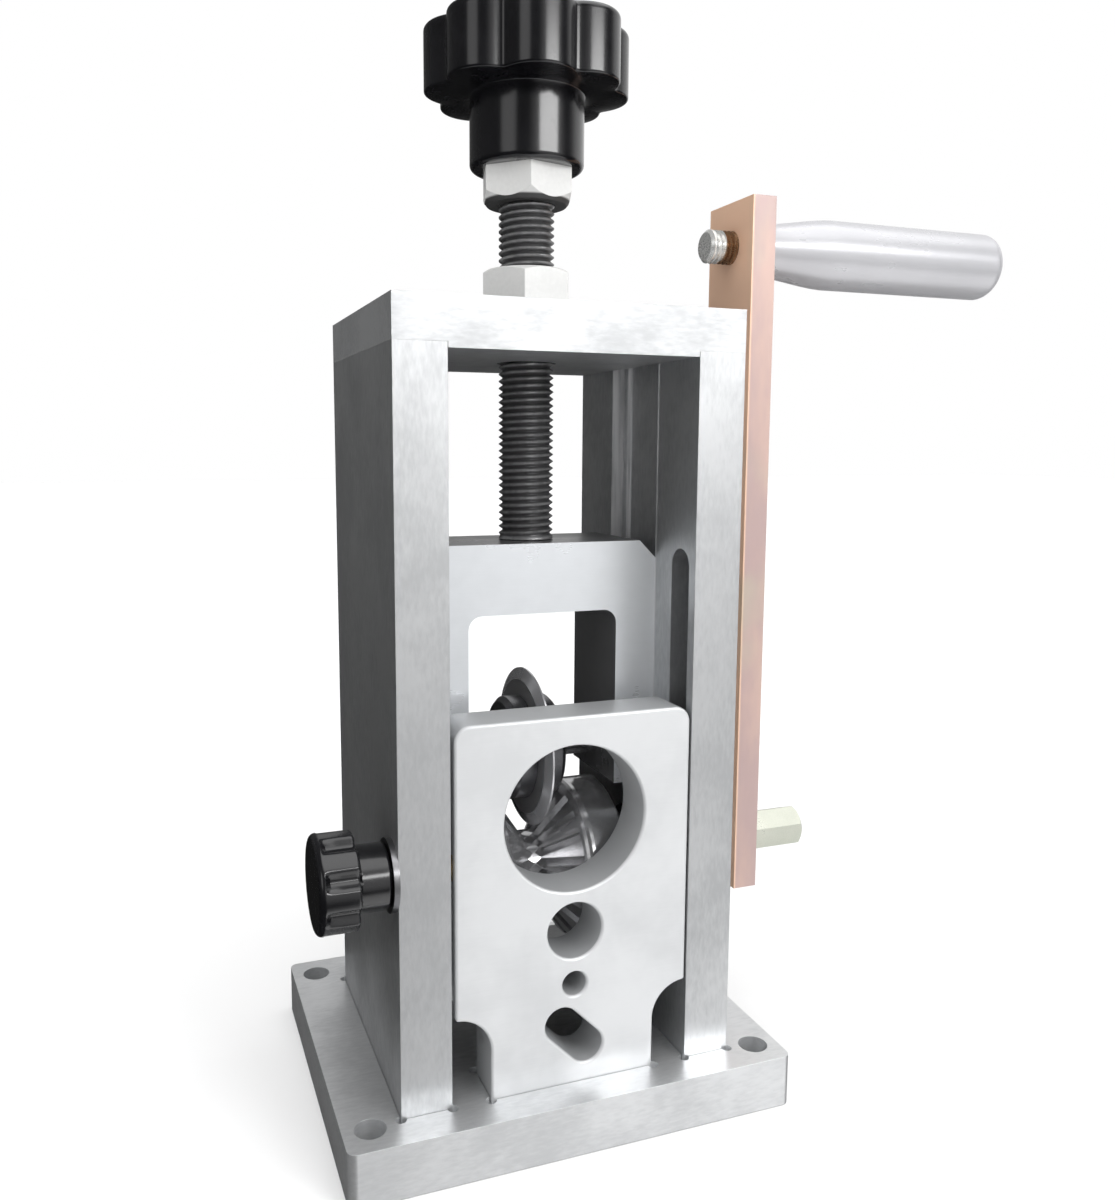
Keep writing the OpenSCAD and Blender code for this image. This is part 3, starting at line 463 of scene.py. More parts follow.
@dataclass(frozen=True)
class GlossMoulding:
    """A glossy black moulded plastic with a faint orange-peel skin."""

    name: str
    colour: Colour
    roughness: float = 0.22
    smoother: float = 0.03
    rougher: float = 0.07
    lift: float = 1.3
    lift_more: float = 0.001
    ior: float = 1.2
    coat_roughness: float = 0.17
    coat_ior: float = 1.6
    clouds: Noise = Noise(90.0, 4.0, 0.6)
    colour_span: Span = (0.4, 0.65)
    gloss_span: Span = (0.35, 0.65)
    skin: Noise = Noise(700.0, 2.0, 0.5)
    skin_depth: float = 0.00002

    def material(self) -> bpy.types.Material:
        """Builds the material.

        Returns:
            The finished material.
        """
        sheet = Sheet(self.name)
        sheet.fixed(metallic=0.0, ior=self.ior, coat_weight=1.0, coat_roughness=self.coat_roughness,
                    coat_ior=self.coat_ior)
        clouds = sheet.noise(sheet.place, self.clouds)
        lifted = tuple(channel * self.lift + self.lift_more for channel in self.colour)
        colour = sheet.mixed(sheet.ranged(clouds, self.colour_span), self.colour, lifted)
        sheet.bump(sheet.noise(sheet.place, self.skin), self.skin_depth)
        uneven = (self.roughness - self.smoother, self.roughness + self.rougher)
        return sheet.painted(colour, sheet.ranged(clouds, self.gloss_span, uneven))


@dataclass(frozen=True)
class WornOxide:
    """A black oxide finish whose outermost surface, such as a thread's crest, is worn brighter."""

    name: str
    axis: Axis
    centre: Point
    worn: Span
    black: Colour = (0.10, 0.10, 0.102)
    worn_colour: Colour = (0.36, 0.36, 0.365)
    metallic: float = 0.6
    patches: Noise = Noise(260.0, 4.0, 0.65)
    patch_span: Span = (0.3, 0.7)
    patch_share: Span = (0.45, 1.0)
    patch_gloss: Span = (0.42, 0.28)
    grit: Noise = Noise(2200.0)
    grit_depth: float = 0.00001

    def material(self) -> bpy.types.Material:
        """Builds the material.

        Returns:
            The finished material.
        """
        sheet = Sheet(self.name)
        sheet.fixed(metallic=self.metallic)
        patches = sheet.noise(sheet.place, self.patches)
        wear = sheet.ranged(sheet.radius_from(self.axis, self.centre), self.worn)
        share = sheet.product(wear, sheet.ranged(patches, self.patch_span, self.patch_share))
        sheet.bump(sheet.noise(sheet.place, self.grit), self.grit_depth)
        return sheet.painted(sheet.mixed(share, self.black, self.worn_colour),
                             sheet.ranged(patches, self.patch_span, self.patch_gloss))


@dataclass(frozen=True)
class GroundDisc:
    """A hardened steel disc, dark on its sides and bright where its rim is ground."""

    name: str
    centre: Point
    ground_from: float
    ground_soft: float = 0.0002
    metallic: float = 0.7
    ring_scale: float = 5200.0
    ring_layers: float = 3.0
    ring_depth: float = 0.000008
    turned: tuple[Colour, Colour] = ((0.44, 0.44, 0.45), (0.58, 0.58, 0.59))
    bright: tuple[Colour, Colour] = ((0.62, 0.62, 0.64), (0.86, 0.86, 0.88))
    gloss: Span = (0.30, 0.22)

    def material(self) -> bpy.types.Material:
        """Builds the material.

        Returns:
            The finished material.
        """
        sheet = Sheet(self.name)
        sheet.fixed(metallic=self.metallic)
        radius = sheet.radius_from(Axis.X, self.centre)
        edge = (self.ground_from - self.ground_soft, self.ground_from + self.ground_soft)
        ground = sheet.ranged(radius, edge)
        rings = sheet.add("ShaderNodeTexNoise", noise_dimensions="1D")
        rings.inputs["Scale"].default_value = self.ring_scale
        rings.inputs["Detail"].default_value = self.ring_layers
        sheet.join(radius, rings.inputs["W"])
        pattern = rings.outputs["Fac"]
        sheet.bump(pattern, self.ring_depth)
        colour = sheet.mixed(ground, sheet.mixed(pattern, *self.turned), sheet.mixed(pattern, *self.bright))
        return sheet.painted(colour, sheet.ranged(ground, RISING, self.gloss))


@dataclass(frozen=True)
class YellowZinc:
    """Yellow zinc plating: tan and pink with greenish drifts and a soft sheen.

    The inner face's brighter tan is partly the plating's own tint and partly painted light that makes up for
    the weaker light on that side.
    """

    name: str
    inner_x: float
    tan: Colour = (0.88, 0.58, 0.41)
    pink: Colour = (0.445, 0.325, 0.31)
    green: Colour = (0.48, 0.45, 0.34)
    metallic: float = 0.12
    inner_soft: float = 0.0008
    drift: Noise = Noise(46.0, 4.0, 0.62)
    drift_stretch: Point = (1.0, 1.0, 0.35)
    drift_span: Span = (0.38, 0.62)
    drift_share: Span = (0.0, 0.20)
    second: Noise = Noise(31.0, 3.0, 0.6)
    second_stretch: Point = (0.8, 1.0, 0.5)
    second_turn: Point = (0.4, 0.7, 0.2)
    second_span: Span = (0.55, 0.72)
    second_share: Span = (0.0, 0.55)
    scratches: Noise = Noise(2400.0)
    scratch_span: Span = (0.3, 0.7)
    scratch_gloss: Span = (0.44, 0.30)
    scratch_depth: float = 0.00001

    def material(self) -> bpy.types.Material:
        """Builds the material.

        Returns:
            The finished material.
        """
        sheet = Sheet(self.name)
        sheet.fixed(metallic=self.metallic)
        drift = sheet.noise(sheet.scaled(self.drift_stretch), self.drift)
        second = sheet.noise(sheet.scaled(self.second_stretch, self.second_turn), self.second)
        # Partly painted light: the inner face takes the brighter tan to make up for the weaker light on that
        # side.
        inner = sheet.ranged(sheet.along("X"), (self.inner_x, self.inner_x + self.inner_soft), FALLING)
        face = sheet.mixed(inner, self.pink, self.tan)
        warm = sheet.mixed(sheet.ranged(drift, self.drift_span, self.drift_share), face, self.tan)
        colour = sheet.mixed(sheet.ranged(second, self.second_span, self.second_share), warm, self.green)
        scratches = sheet.noise(sheet.scaled(Grain.ALONG_Z.value), self.scratches)
        sheet.bump(scratches, self.scratch_depth)
        return sheet.painted(colour, sheet.ranged(scratches, self.scratch_span, self.scratch_gloss))


class Bench:
    """Common ways to make, dress and report the pieces."""

    weld = 0.000002
    flat_angle = math.radians(0.6)
    sharp_angle = math.radians(28)
    smooth_degrees = 60.0

    def __init__(self, nodes: dict[str, bpy.types.Object], node_body: dict[str, str],
                 node_slot: dict[str, str]) -> None:
        """Keeps the frame's nodes and what belongs to them.

        Args:
            nodes: The CAD nodes by name.
            node_body: Each node's body.
            node_slot: Each node's material slot.
        """
        self.nodes = nodes
        self.node_body = node_body
        self.node_slot = node_slot
        self.dressed: set[str] = set()

    def stand_in(self, piece: bpy.types.Object, node: str, material: bpy.types.Material) -> None:
        """Lets a piece take a node's place.

        Args:
            piece: The new piece.
            node: The CAD node that it stands for.
            material: Its finish.
        """
        piece.data.materials.clear()
        piece.data.materials.append(material)
        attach(piece, self.node_body[node])
        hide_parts(node)
        self.dressed.add(node)
        LOG.info("%s takes the place of %s with %s", piece.name, node, material.name)

    def dress(self, node: str, material: bpy.types.Material) -> None:
        """Gives a CAD node its finish.

        Args:
            node: The node.
            material: Its finish.
        """
        thing = self.nodes[node]
        if not thing.data.materials:
            thing.data.materials.append(material)
        for slot in thing.material_slots:
            slot.material = material
        self.dressed.add(node)
        LOG.info("%s is dressed with %s", node, material.name)

    def eased(self, node: str, name: str, width: float, material: bpy.types.Material,
              clamped: bool = True) -> None:
        """Lets a copy of a node's shape with eased edges take its place.

        Args:
            node: The CAD node.
            name: The new piece's name.
            width: Width of the eased edge in metres.
            material: Its finish.
            clamped: Whether the width gives way to short edges.
        """
        shape = bmesh.new()
        shape.from_mesh(self.nodes[node].data)
        bmesh.ops.remove_doubles(shape, verts=shape.verts, dist=self.weld)
        bmesh.ops.dissolve_limit(shape, angle_limit=self.flat_angle, verts=shape.verts, edges=shape.edges)
        sharp = [edge for edge in shape.edges
                 if edge.is_manifold and edge.calc_face_angle(0.0) > self.sharp_angle]
        bmesh.ops.bevel(shape, geom=sharp, offset=width, offset_type="OFFSET", segments=2,
                        profile=0.5, affect="EDGES", clamp_overlap=clamped)
        piece = object_from(name, shape)
        smooth(piece, self.smooth_degrees)
        weigh = piece.modifiers.new("even_light", "WEIGHTED_NORMAL")
        weigh.keep_sharp = True
        self.stand_in(piece, node, material)


def add_object(name: str, data: bpy.types.ID) -> bpy.types.Object:
    """Adds an object for a mesh, a light or a camera.

    Args:
        name: The object's name.
        data: What the object holds.

    Returns:
        The new object.
    """
    thing = bpy.data.objects.new(name, data)
    bpy.context.scene.collection.objects.link(thing)
    return thing


def object_from(name: str, shape: bmesh.types.BMesh) -> bpy.types.Object:
    """Turns a worked shape into an object whose faces look outward.

    Args:
        name: The object's name.
        shape: The worked shape, which is freed.

    Returns:
        The new object.
    """
    bmesh.ops.recalc_face_normals(shape, faces=shape.faces)
    mesh = bpy.data.meshes.new(name)
    shape.to_mesh(mesh)
    shape.free()
    return add_object(name, mesh)


def smooth(thing: bpy.types.Object, angle: float) -> None:
    """Shades an object smoothly, apart from edges sharper than an angle in degrees."""
    thing.data.polygons.foreach_set("use_smooth", [True] * len(thing.data.polygons))
    thing.data.set_sharp_from_angle(angle=math.radians(angle))


def skinned(name: str, rings: Sequence[Sequence[Point]], closed: bool) -> bpy.types.Object:
    """Skins a row of rings, and caps the two ends unless the row closes on itself.

    Args:
        name: The new object's name.
        rings: Rings with the same number of points.
        closed: Whether the last ring joins the first.

    Returns:
        The new object.
    """
    count = len(rings[0])
    verts = [point for ring in rings for point in ring]
    faces: list[tuple[int, ...]] = []
    for row in range(len(rings) if closed else len(rings) - 1):
        low, high = row * count, (row + 1) % len(rings) * count
        faces += [(low + i, low + (i + 1) % count, high + (i + 1) % count, high + i) for i in range(count)]
    if not closed:
        faces.append(tuple(range(count)))
        faces.append(tuple(range((len(rings) - 1) * count, len(rings) * count)))
    mesh = bpy.data.meshes.new(name + "_rings")
    mesh.from_pydata(verts, [], faces)
    shape = bmesh.new()
    shape.from_mesh(mesh)
    bpy.data.meshes.remove(mesh)
    return object_from(name, shape)


def turned(name: str, axis: Axis, centre: Point, stations: Sequence[Station],
           radius: Callable[[float, float, float], float] | None = None, steps: int = 96,
           closed: bool = False) -> bpy.types.Object:
    """Makes a piece turned about an axis, with a radius that may vary round it.

    Args:
        name: The piece's name.
        axis: The direction of the axis.
        centre: A point on the axis, whose place along the axis isn't used.
        stations: Pairs of place along the axis and radius, in millimetres.
        radius: Gives the real radius from a station's place and radius and the angle round the axis.
        steps: Number of points round the axis.
        closed: Whether the outline closes on itself, as a tube's does.

    Returns:
        The new piece.
    """
    rings = []
    for along, plain in stations:
        ring = []
        for i in range(steps):
            angle = TAU * i / steps
            reach = radius(along, plain, angle) if radius else plain
            out, up = reach * math.cos(angle), reach * math.sin(angle)
            if axis is Axis.X:
                ring.append((along * MM, centre[1] + out * MM, centre[2] + up * MM))
            else:
                ring.append((centre[0] + out * MM, centre[1] + up * MM, along * MM))
        rings.append(ring)
    return skinned(name, rings, closed)


def arc(centre_along: float, centre_radius: float, size: float, start: float, end: float,
        steps: int = 6) -> list[Station]:
    """Gives stations along a quarter round.

    Args:
        centre_along: The round's middle along the axis.
        centre_radius: The round's middle as a radius.
        size: The round's own radius.
        start: First angle in degrees, where 0 is outward and 90 is along the axis.
        end: Last angle in degrees.
        steps: Number of steps.

    Returns:
        The stations.
    """
    stations = []
    for i in range(steps + 1):
        angle = math.radians(start + (end - start) * i / steps)
        stations.append((centre_along + size * math.sin(angle), centre_radius + size * math.cos(angle)))
    return stations


def reach_of(node: str, axis: Axis) -> Span:
    """Gives where a node starts and ends along an axis, in millimetres."""
    low, high = (getattr(corner, axis.value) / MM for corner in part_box(node))
    return low, high


def middle_of(node: str) -> Vector:
    """Gives the middle of a node's box."""
    low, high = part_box(node)
    return (low + high) / 2


@dataclass(frozen=True)
class Thread:
    """A 60 degree screw thread."""

    pitch: float
    depth: float
    start: float
    end: float
    flank: float = 2.6
    crest: float = 0.12

    def radius(self, along: float, plain: float, angle: float) -> float:
        """Gives the thread's radius at a place.

        Args:
            along: Place along the axis in millimetres.
            plain: Radius over the crests.
            angle: Angle round the axis.

        Returns:
            The radius in millimetres.
        """
        if not self.start <= along <= self.end:
            return plain
        fade = min(1.0, (along - self.start) / self.pitch, (self.end - along) / self.pitch)
        phase = (along / self.pitch - angle / TAU) % 1.0
        height = min(1.0, max(0.0, abs(phase - 0.5) * self.flank - self.crest))
        return plain - self.depth * height * fade

    def stations(self, radius: float, per_turn: int) -> list[Station]:
        """Gives evenly spaced stations over the thread.

        Args:
            radius: Radius over the crests.
            per_turn: Stations for each pitch.

        Returns:
            The stations.
        """
        count = round((self.end - self.start) / self.pitch * per_turn)
        return [(self.start + (self.end - self.start) * i / count, radius) for i in range(count + 1)]


@dataclass
class Plates:
    """The flat machined pieces: base, uprights, top plate, carriage and guide plate."""

    bench: Bench
    edge: float = 0.35 * MM
    guide_edge: float = 0.8 * MM
    slot_in: float = 0.6 * MM
    slot_out: float = 0.8 * MM
    slot_over: float = 2.0 * MM
    wall_in: float = 0.3 * MM
    wall_over: float = 0.6 * MM
    floor_in: float = 0.5 * MM
    floor_rub: Span = (6.0 * MM, 2.8 * MM)
    lip_rub: float = 0.7 * MM
    past: float = 1.0 * MM

    def upright_box(self, start: Span, end: Span) -> Box:
        """Gives a box over the full height of the right upright.

        Args:
            start: Its lowest X and Y.
            end: Its highest X and Y.

        Returns:
            The box.
        """
        low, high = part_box("right_side_plate")
        return (*start, low.z), (*end, high.z)

    def pin_slot(self) -> Box:
        """Gives the place of the guide pin's slot inside the right upright, whose walls get painted shade.

        Returns:
            The box.
        """
        low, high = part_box("right_side_plate")
        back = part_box("guide_pin")[1].y + self.slot_over
        return self.upright_box((low.x + self.slot_in, low.y), (high.x - self.slot_out, back))

    def tracks(self) -> tuple[Box, ...]:
        """Gives the places that the carriage rubs: the groove's back wall, its floor and its front lip.

        Returns:
            The boxes.
        """
        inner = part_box("right_side_plate")[0].x
        low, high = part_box("carriage")
        deep = high.x + self.past
        wall = self.upright_box((inner + self.wall_in, high.y - self.wall_in),
                                (deep, high.y + self.wall_over))
        floor = self.upright_box((high.x - self.floor_in, high.y - self.floor_rub[0]),
                                 (deep, high.y - self.floor_rub[1]))
        lip = self.upright_box((inner - self.past, low.y - self.lip_rub), (inner + self.past, low.y))
        return wall, floor, lip

    def build(self) -> None:
        """Makes the plates with eased edges and a milled or satin finish."""
        # The right upright's pin slot walls get painted shade.
        upright = MachinedMetal("milled_upright", (0.75, 0.76, 0.77), (0.60, 0.61, 0.62), 0.40,
                                grain=Grain.MILLED_Z, slant=0.5, mark_scale=1000.0, metallic=0.92,
                                painted_shade_slot=self.pin_slot(), rubbed=self.tracks()).material()
        flat = MachinedMetal("milled_flat", (0.74, 0.75, 0.76), (0.60, 0.61, 0.62), 0.44,
                             grain=Grain.MILLED_X, slant=0.3, mark_scale=1000.0, metallic=0.85).material()
        foot = MachinedMetal("milled_base", (0.82, 0.83, 0.84), (0.69, 0.70, 0.71), 0.42,
                             grain=Grain.MILLED_X, slant=0.3, mark_scale=1000.0, metallic=0.82).material()
        # The guide plate's tops, sides and bore walls get painted shade.
        guide = MachinedMetal("satin_guide", (0.69, 0.70, 0.71), (0.60, 0.61, 0.62), 0.42,
                              grain=Grain.ALONG_X, slant=0.6, mark_depth=0.000004, metallic=0.4,
                              mark_share=0.08, painted_side_shade=(0.48, 0.49, 0.50)).material()
        # The carriage's window walls and sides get painted shade, nearly black.
        sliding = MachinedMetal("satin_carriage", (0.74, 0.76, 0.785), (0.67, 0.69, 0.71), 0.30,
                                grain=Grain.ALONG_X, slant=0.6, mark_depth=0.000004, metallic=0.4,
                                mark_share=0.08, painted_side_shade=(0.15, 0.15, 0.155)).material()
        for node, name, finish in (("left_side_plate", "left_upright", upright),
                                   ("right_side_plate", "right_upright", upright),
                                   ("base_plate", "base_block", foot),
                                   ("top_plate", "top_bar", flat),
                                   ("carriage", "carriage_block", sliding)):
            self.bench.eased(node, name, self.edge, finish)
        self.bench.eased("guide_plate", "guide_block", self.guide_edge, guide, clamped=False)


@dataclass
class ScrewStack:
    """The depth screw with its two nuts and the star knob, in millimetres."""

    bench: Bench
    screw_r: float = 8.0
    journal_r: float = 6.0
    journal_ease: float = 1.0
    thread_root_r: float = 7.0
    top_r: float = 6.7
    centre_r: float = 4.0
    thread_pitch: float = 2.0
    thread_depth: float = 1.1
    thread_gap: float = 0.3
    worn: Span = (7.2, 7.9)
    nut_edge: float = 0.3
    # Height over a nut's foot up to which its downward faces get painted shade.
    under_shade_height: float = 1.5
    lobes: int = 8
    lobe_r: float = 10.4
    lobe_turn: float = math.radians(-102)
    lobes_over: float = 0.72
    valley_soft: float = 1.0
    knob_r: float = 29.0
    head_h: float = 18.0
    head_rim: float = 0.6
    head_round: float = 1.8
    head_under_r: float = 20.0
    dish_r: float = 14.0
    dish_depth: float = 0.9
    dish_ease: Span = (0.7, 1.4)
    dish_core_r: float = 6.0
    core_r: float = 1.0
    hold: float = 0.2
    hair: float = 0.05
    knob_bore_r: float = 11.4
    collar_r: float = 16.25
    collar_round: float = 1.6
    collar_flare: float = 0.3

    def build(self) -> None:
        """Makes the screw, the nuts and the knob."""
        self.screw()
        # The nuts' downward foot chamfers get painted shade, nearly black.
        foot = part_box("knob_lock_nut")[0].z + self.under_shade_height * MM
        zinc = MachinedMetal("white_zinc_nut", (0.72, 0.72, 0.71), (0.66, 0.66, 0.65), 0.44,
                             spread=0.08, mark_scale=900.0, mark_depth=0.000006, metallic=0.12,
                             painted_under_shade=(0.05, 0.05, 0.05), under_shade_below=foot).material()
        self.bench.eased("drive_nut", "fixed_nut", self.nut_edge * MM, zinc)
        self.bench.eased("knob_lock_nut", "upper_nut", self.nut_edge * MM, zinc)
        self.knob()

    def screw(self) -> None:
        """Makes the screw with its plain end in the carriage and its thread up to the knob."""
        centre = middle_of("depth_screw")
        low, high = reach_of("depth_screw", Axis.Z)
        shoulder = reach_of("carriage", Axis.Z)[1]
        thread = Thread(self.thread_pitch, self.thread_depth, shoulder + self.thread_gap,
                        reach_of("knob_lock_nut", Axis.Z)[1])
        stations = [(low, self.centre_r), (low, self.journal_r - self.journal_ease),
                    (low + self.journal_ease, self.journal_r), (shoulder, self.journal_r),
                    (shoulder, self.thread_root_r), *thread.stations(self.screw_r, per_turn=8),
                    (high, self.top_r)]
        screw = turned("threaded_screw", Axis.Z, centre, stations, thread.radius, steps=48)
        smooth(screw, THREAD_CREASE)
        worn = (self.worn[0] * MM, self.worn[1] * MM)
        oxide = WornOxide("black_oxide_thread", Axis.Z, centre, worn)
        self.bench.stand_in(screw, "depth_screw", oxide.material())

    def lobe_radius(self, along: float, plain: float, angle: float) -> float:
        """Gives the knob head's radius at a place.

        Args:
            along: Place along the axis, which isn't used.
            plain: Full radius of the head there.
            angle: Angle round the axis.

        Returns:
            The radius in millimetres.
        """
        if plain < self.knob_r * self.lobes_over:
            return plain
        pitch = TAU / self.lobes
        off = (angle - self.lobe_turn + pitch / 2) % pitch - pitch / 2
        track = self.knob_r - self.lobe_r
        reach = []
        for turn in (off, pitch - abs(off)):
            inside = max(0.0, self.lobe_r ** 2 - (track * math.sin(turn)) ** 2)
            reach.append(track * math.cos(turn) + math.sqrt(inside))
        soft = self.valley_soft
        outline = reach[0] + soft * math.log(1 + math.exp((reach[1] - reach[0]) / soft))
        return outline - (self.knob_r - plain)

    def knob(self) -> None:
        """Makes the moulded star knob with rounded edges and a shallow dish on top.

        Extra stations close beside each round keep the shading flat between the rounds.
        """
        low, high = reach_of("star_knob", Axis.Z)
        head = high - self.head_h
        foot, rim, crown = self.collar_round, self.head_rim, self.head_round
        flare, hold = self.collar_flare, self.hold
        stations = [(low, self.knob_bore_r), (low, self.collar_r - foot - self.hair),
                    *arc(low + foot, self.collar_r - foot, foot, -90, 0), (low + foot + hold, self.collar_r),
                    (head - 2 * flare, self.collar_r), (head - flare, self.collar_r),
                    (head - flare / 3, self.collar_r + flare / 3), (head, self.collar_r + flare),
                    (head, self.head_under_r), *arc(head + rim, self.knob_r - rim, rim, -90, 0, 4),
                    (head + rim + hold, self.knob_r), (high - crown - hold, self.knob_r),
                    *arc(high - crown, self.knob_r - crown, crown, 0, 90),
                    (high, self.head_under_r + rim), (high, self.dish_r),
                    (high - self.dish_ease[0], self.dish_r - self.dish_ease[1]),
                    (high - self.dish_depth, self.dish_core_r), (high - self.dish_depth, self.core_r)]
        knob = turned("moulded_star_knob", Axis.Z, middle_of("depth_screw"), stations, self.lobe_radius,
                      steps=320)
        smooth(knob, MOULDED_CREASE)
        black = GlossMoulding("black_phenolic_knob", (0.004, 0.004, 0.005))
        self.bench.stand_in(knob, "star_knob", black.material())


@dataclass
class CutterHead:
    """The cutting wheel with its hub on the carriage's axle."""

    bench: Bench
    ground_width: float = 3.5 * MM
    hub_edge: float = 0.25 * MM

    def build(self) -> None:
        """Dresses the blade and the hub."""
        low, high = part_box("cutting_blade")
        ground_from = (high.z - low.z) / 2 - self.ground_width
        disc = GroundDisc("ground_blade", tuple(middle_of("cutting_blade")), ground_from)
        self.bench.dress("cutting_blade", disc.material())
        dark = MachinedMetal("dark_hub", (0.26, 0.26, 0.27), (0.17, 0.17, 0.18), 0.30,
                             metallic=0.9).material()
        self.bench.eased("blade_flanges", "hub_flanges", self.hub_edge, dark)
        self.bench.dress("axle_clips", dark)
        bronze = MachinedMetal("bronze_bush", (0.62, 0.38, 0.17), (0.45, 0.26, 0.11), 0.32).material()
        self.bench.dress("blade_bush", bronze)


@dataclass
class RollerDrive:
    """The toothed feed roller and its shaft."""

    bench: Bench
    shaft_edge: float = 0.3 * MM

    def build(self) -> None:
        """Dresses the roller and eases the shaft."""
        polished = MachinedMetal("polished_roller", (0.58, 0.58, 0.59), (0.42, 0.42, 0.43), 0.18,
                                 spread=0.08, metallic=0.8).material()
        self.bench.dress("feed_roller", polished)
        pale = MachinedMetal("pale_zinc_shaft", (0.56, 0.57, 0.50), (0.48, 0.50, 0.43), 0.30,
                             metallic=0.5).material()
        self.bench.eased("drive_shaft", "hex_ended_shaft", self.shaft_edge, pale)


@dataclass
class ClampSet:
    """The fluted clamp knob on the left, in millimetres."""

    bench: Bench
    head_l: float = 10.5
    head_r: float = 13.0
    head_round: float = 1.6
    neck_round: float = 0.8
    neck_ease: float = 0.9
    collar_r: float = 8.75
    collar_ease: Span = (0.6, 0.5)
    bore_r: float = 3.1
    core_r: float = 1.0
    hold: float = 0.2
    flutes: int = 8
    flutes_over: float = 0.6
    flute_stations: Span = (3.0, 6.0)
    flute_depth: float = 1.9
    flute_turn: float = math.radians(22.5)
    flute_share: float = 0.15
    flute_power: float = 1.3
    flute_runout: float = 1.2
    flat_until: float = 0.0

    def flute_radius(self, along: float, plain: float, angle: float) -> float:
        """Gives the fluted head's radius at a place.

        Args:
            along: Place along the axis in millimetres.
            plain: Full radius there.
            angle: Angle round the axis.

        Returns:
            The radius in millimetres.
        """
        if plain <= self.collar_r + self.flutes_over or along < self.flat_until:
            return plain
        wave = math.cos(self.flutes * (angle - self.flute_turn))
        notch = max(0.0, (wave + self.flute_share) / (1 + self.flute_share)) ** self.flute_power
        return plain - self.flute_depth * notch * min(1.0, (along - self.flat_until) / self.flute_runout)

    def build(self) -> None:
        """Makes the clamp knob.

        Extra stations close beside each round keep the shading flat between the rounds.
        """
        low, high = reach_of("clamp_knob", Axis.X)
        self.flat_until = low + self.head_round
        head = low + self.head_l
        rim, neck, hold = self.head_round, self.neck_round, self.hold
        ease_l, ease_r = self.collar_ease
        stations = [(low, self.core_r), (low, self.head_r - rim),
                    *arc(low + rim, self.head_r - rim, rim, -90, 0, 8), (low + rim + hold, self.head_r),
                    *((low + place, self.head_r) for place in self.flute_stations),
                    (head - neck - hold, self.head_r), (head - neck - hold / 2, self.head_r),
                    *arc(head - neck, self.head_r - neck, neck, 0, 90),
                    (head, self.collar_r + self.neck_ease),
                    (head + self.neck_ease, self.collar_r), (head + self.neck_ease + hold, self.collar_r),
                    (high - ease_l - hold, self.collar_r), (high - ease_l, self.collar_r),
                    (high, self.collar_r - ease_r), (high, self.bore_r)]
        knob = turned("fluted_clamp_knob", Axis.X, middle_of("clamp_knob"), stations, self.flute_radius,
                      steps=240)
        smooth(knob, MOULDED_CREASE)
        black = GlossMoulding("black_clamp_moulding", (0.005, 0.005, 0.006))
        self.bench.stand_in(knob, "clamp_knob", black.material())


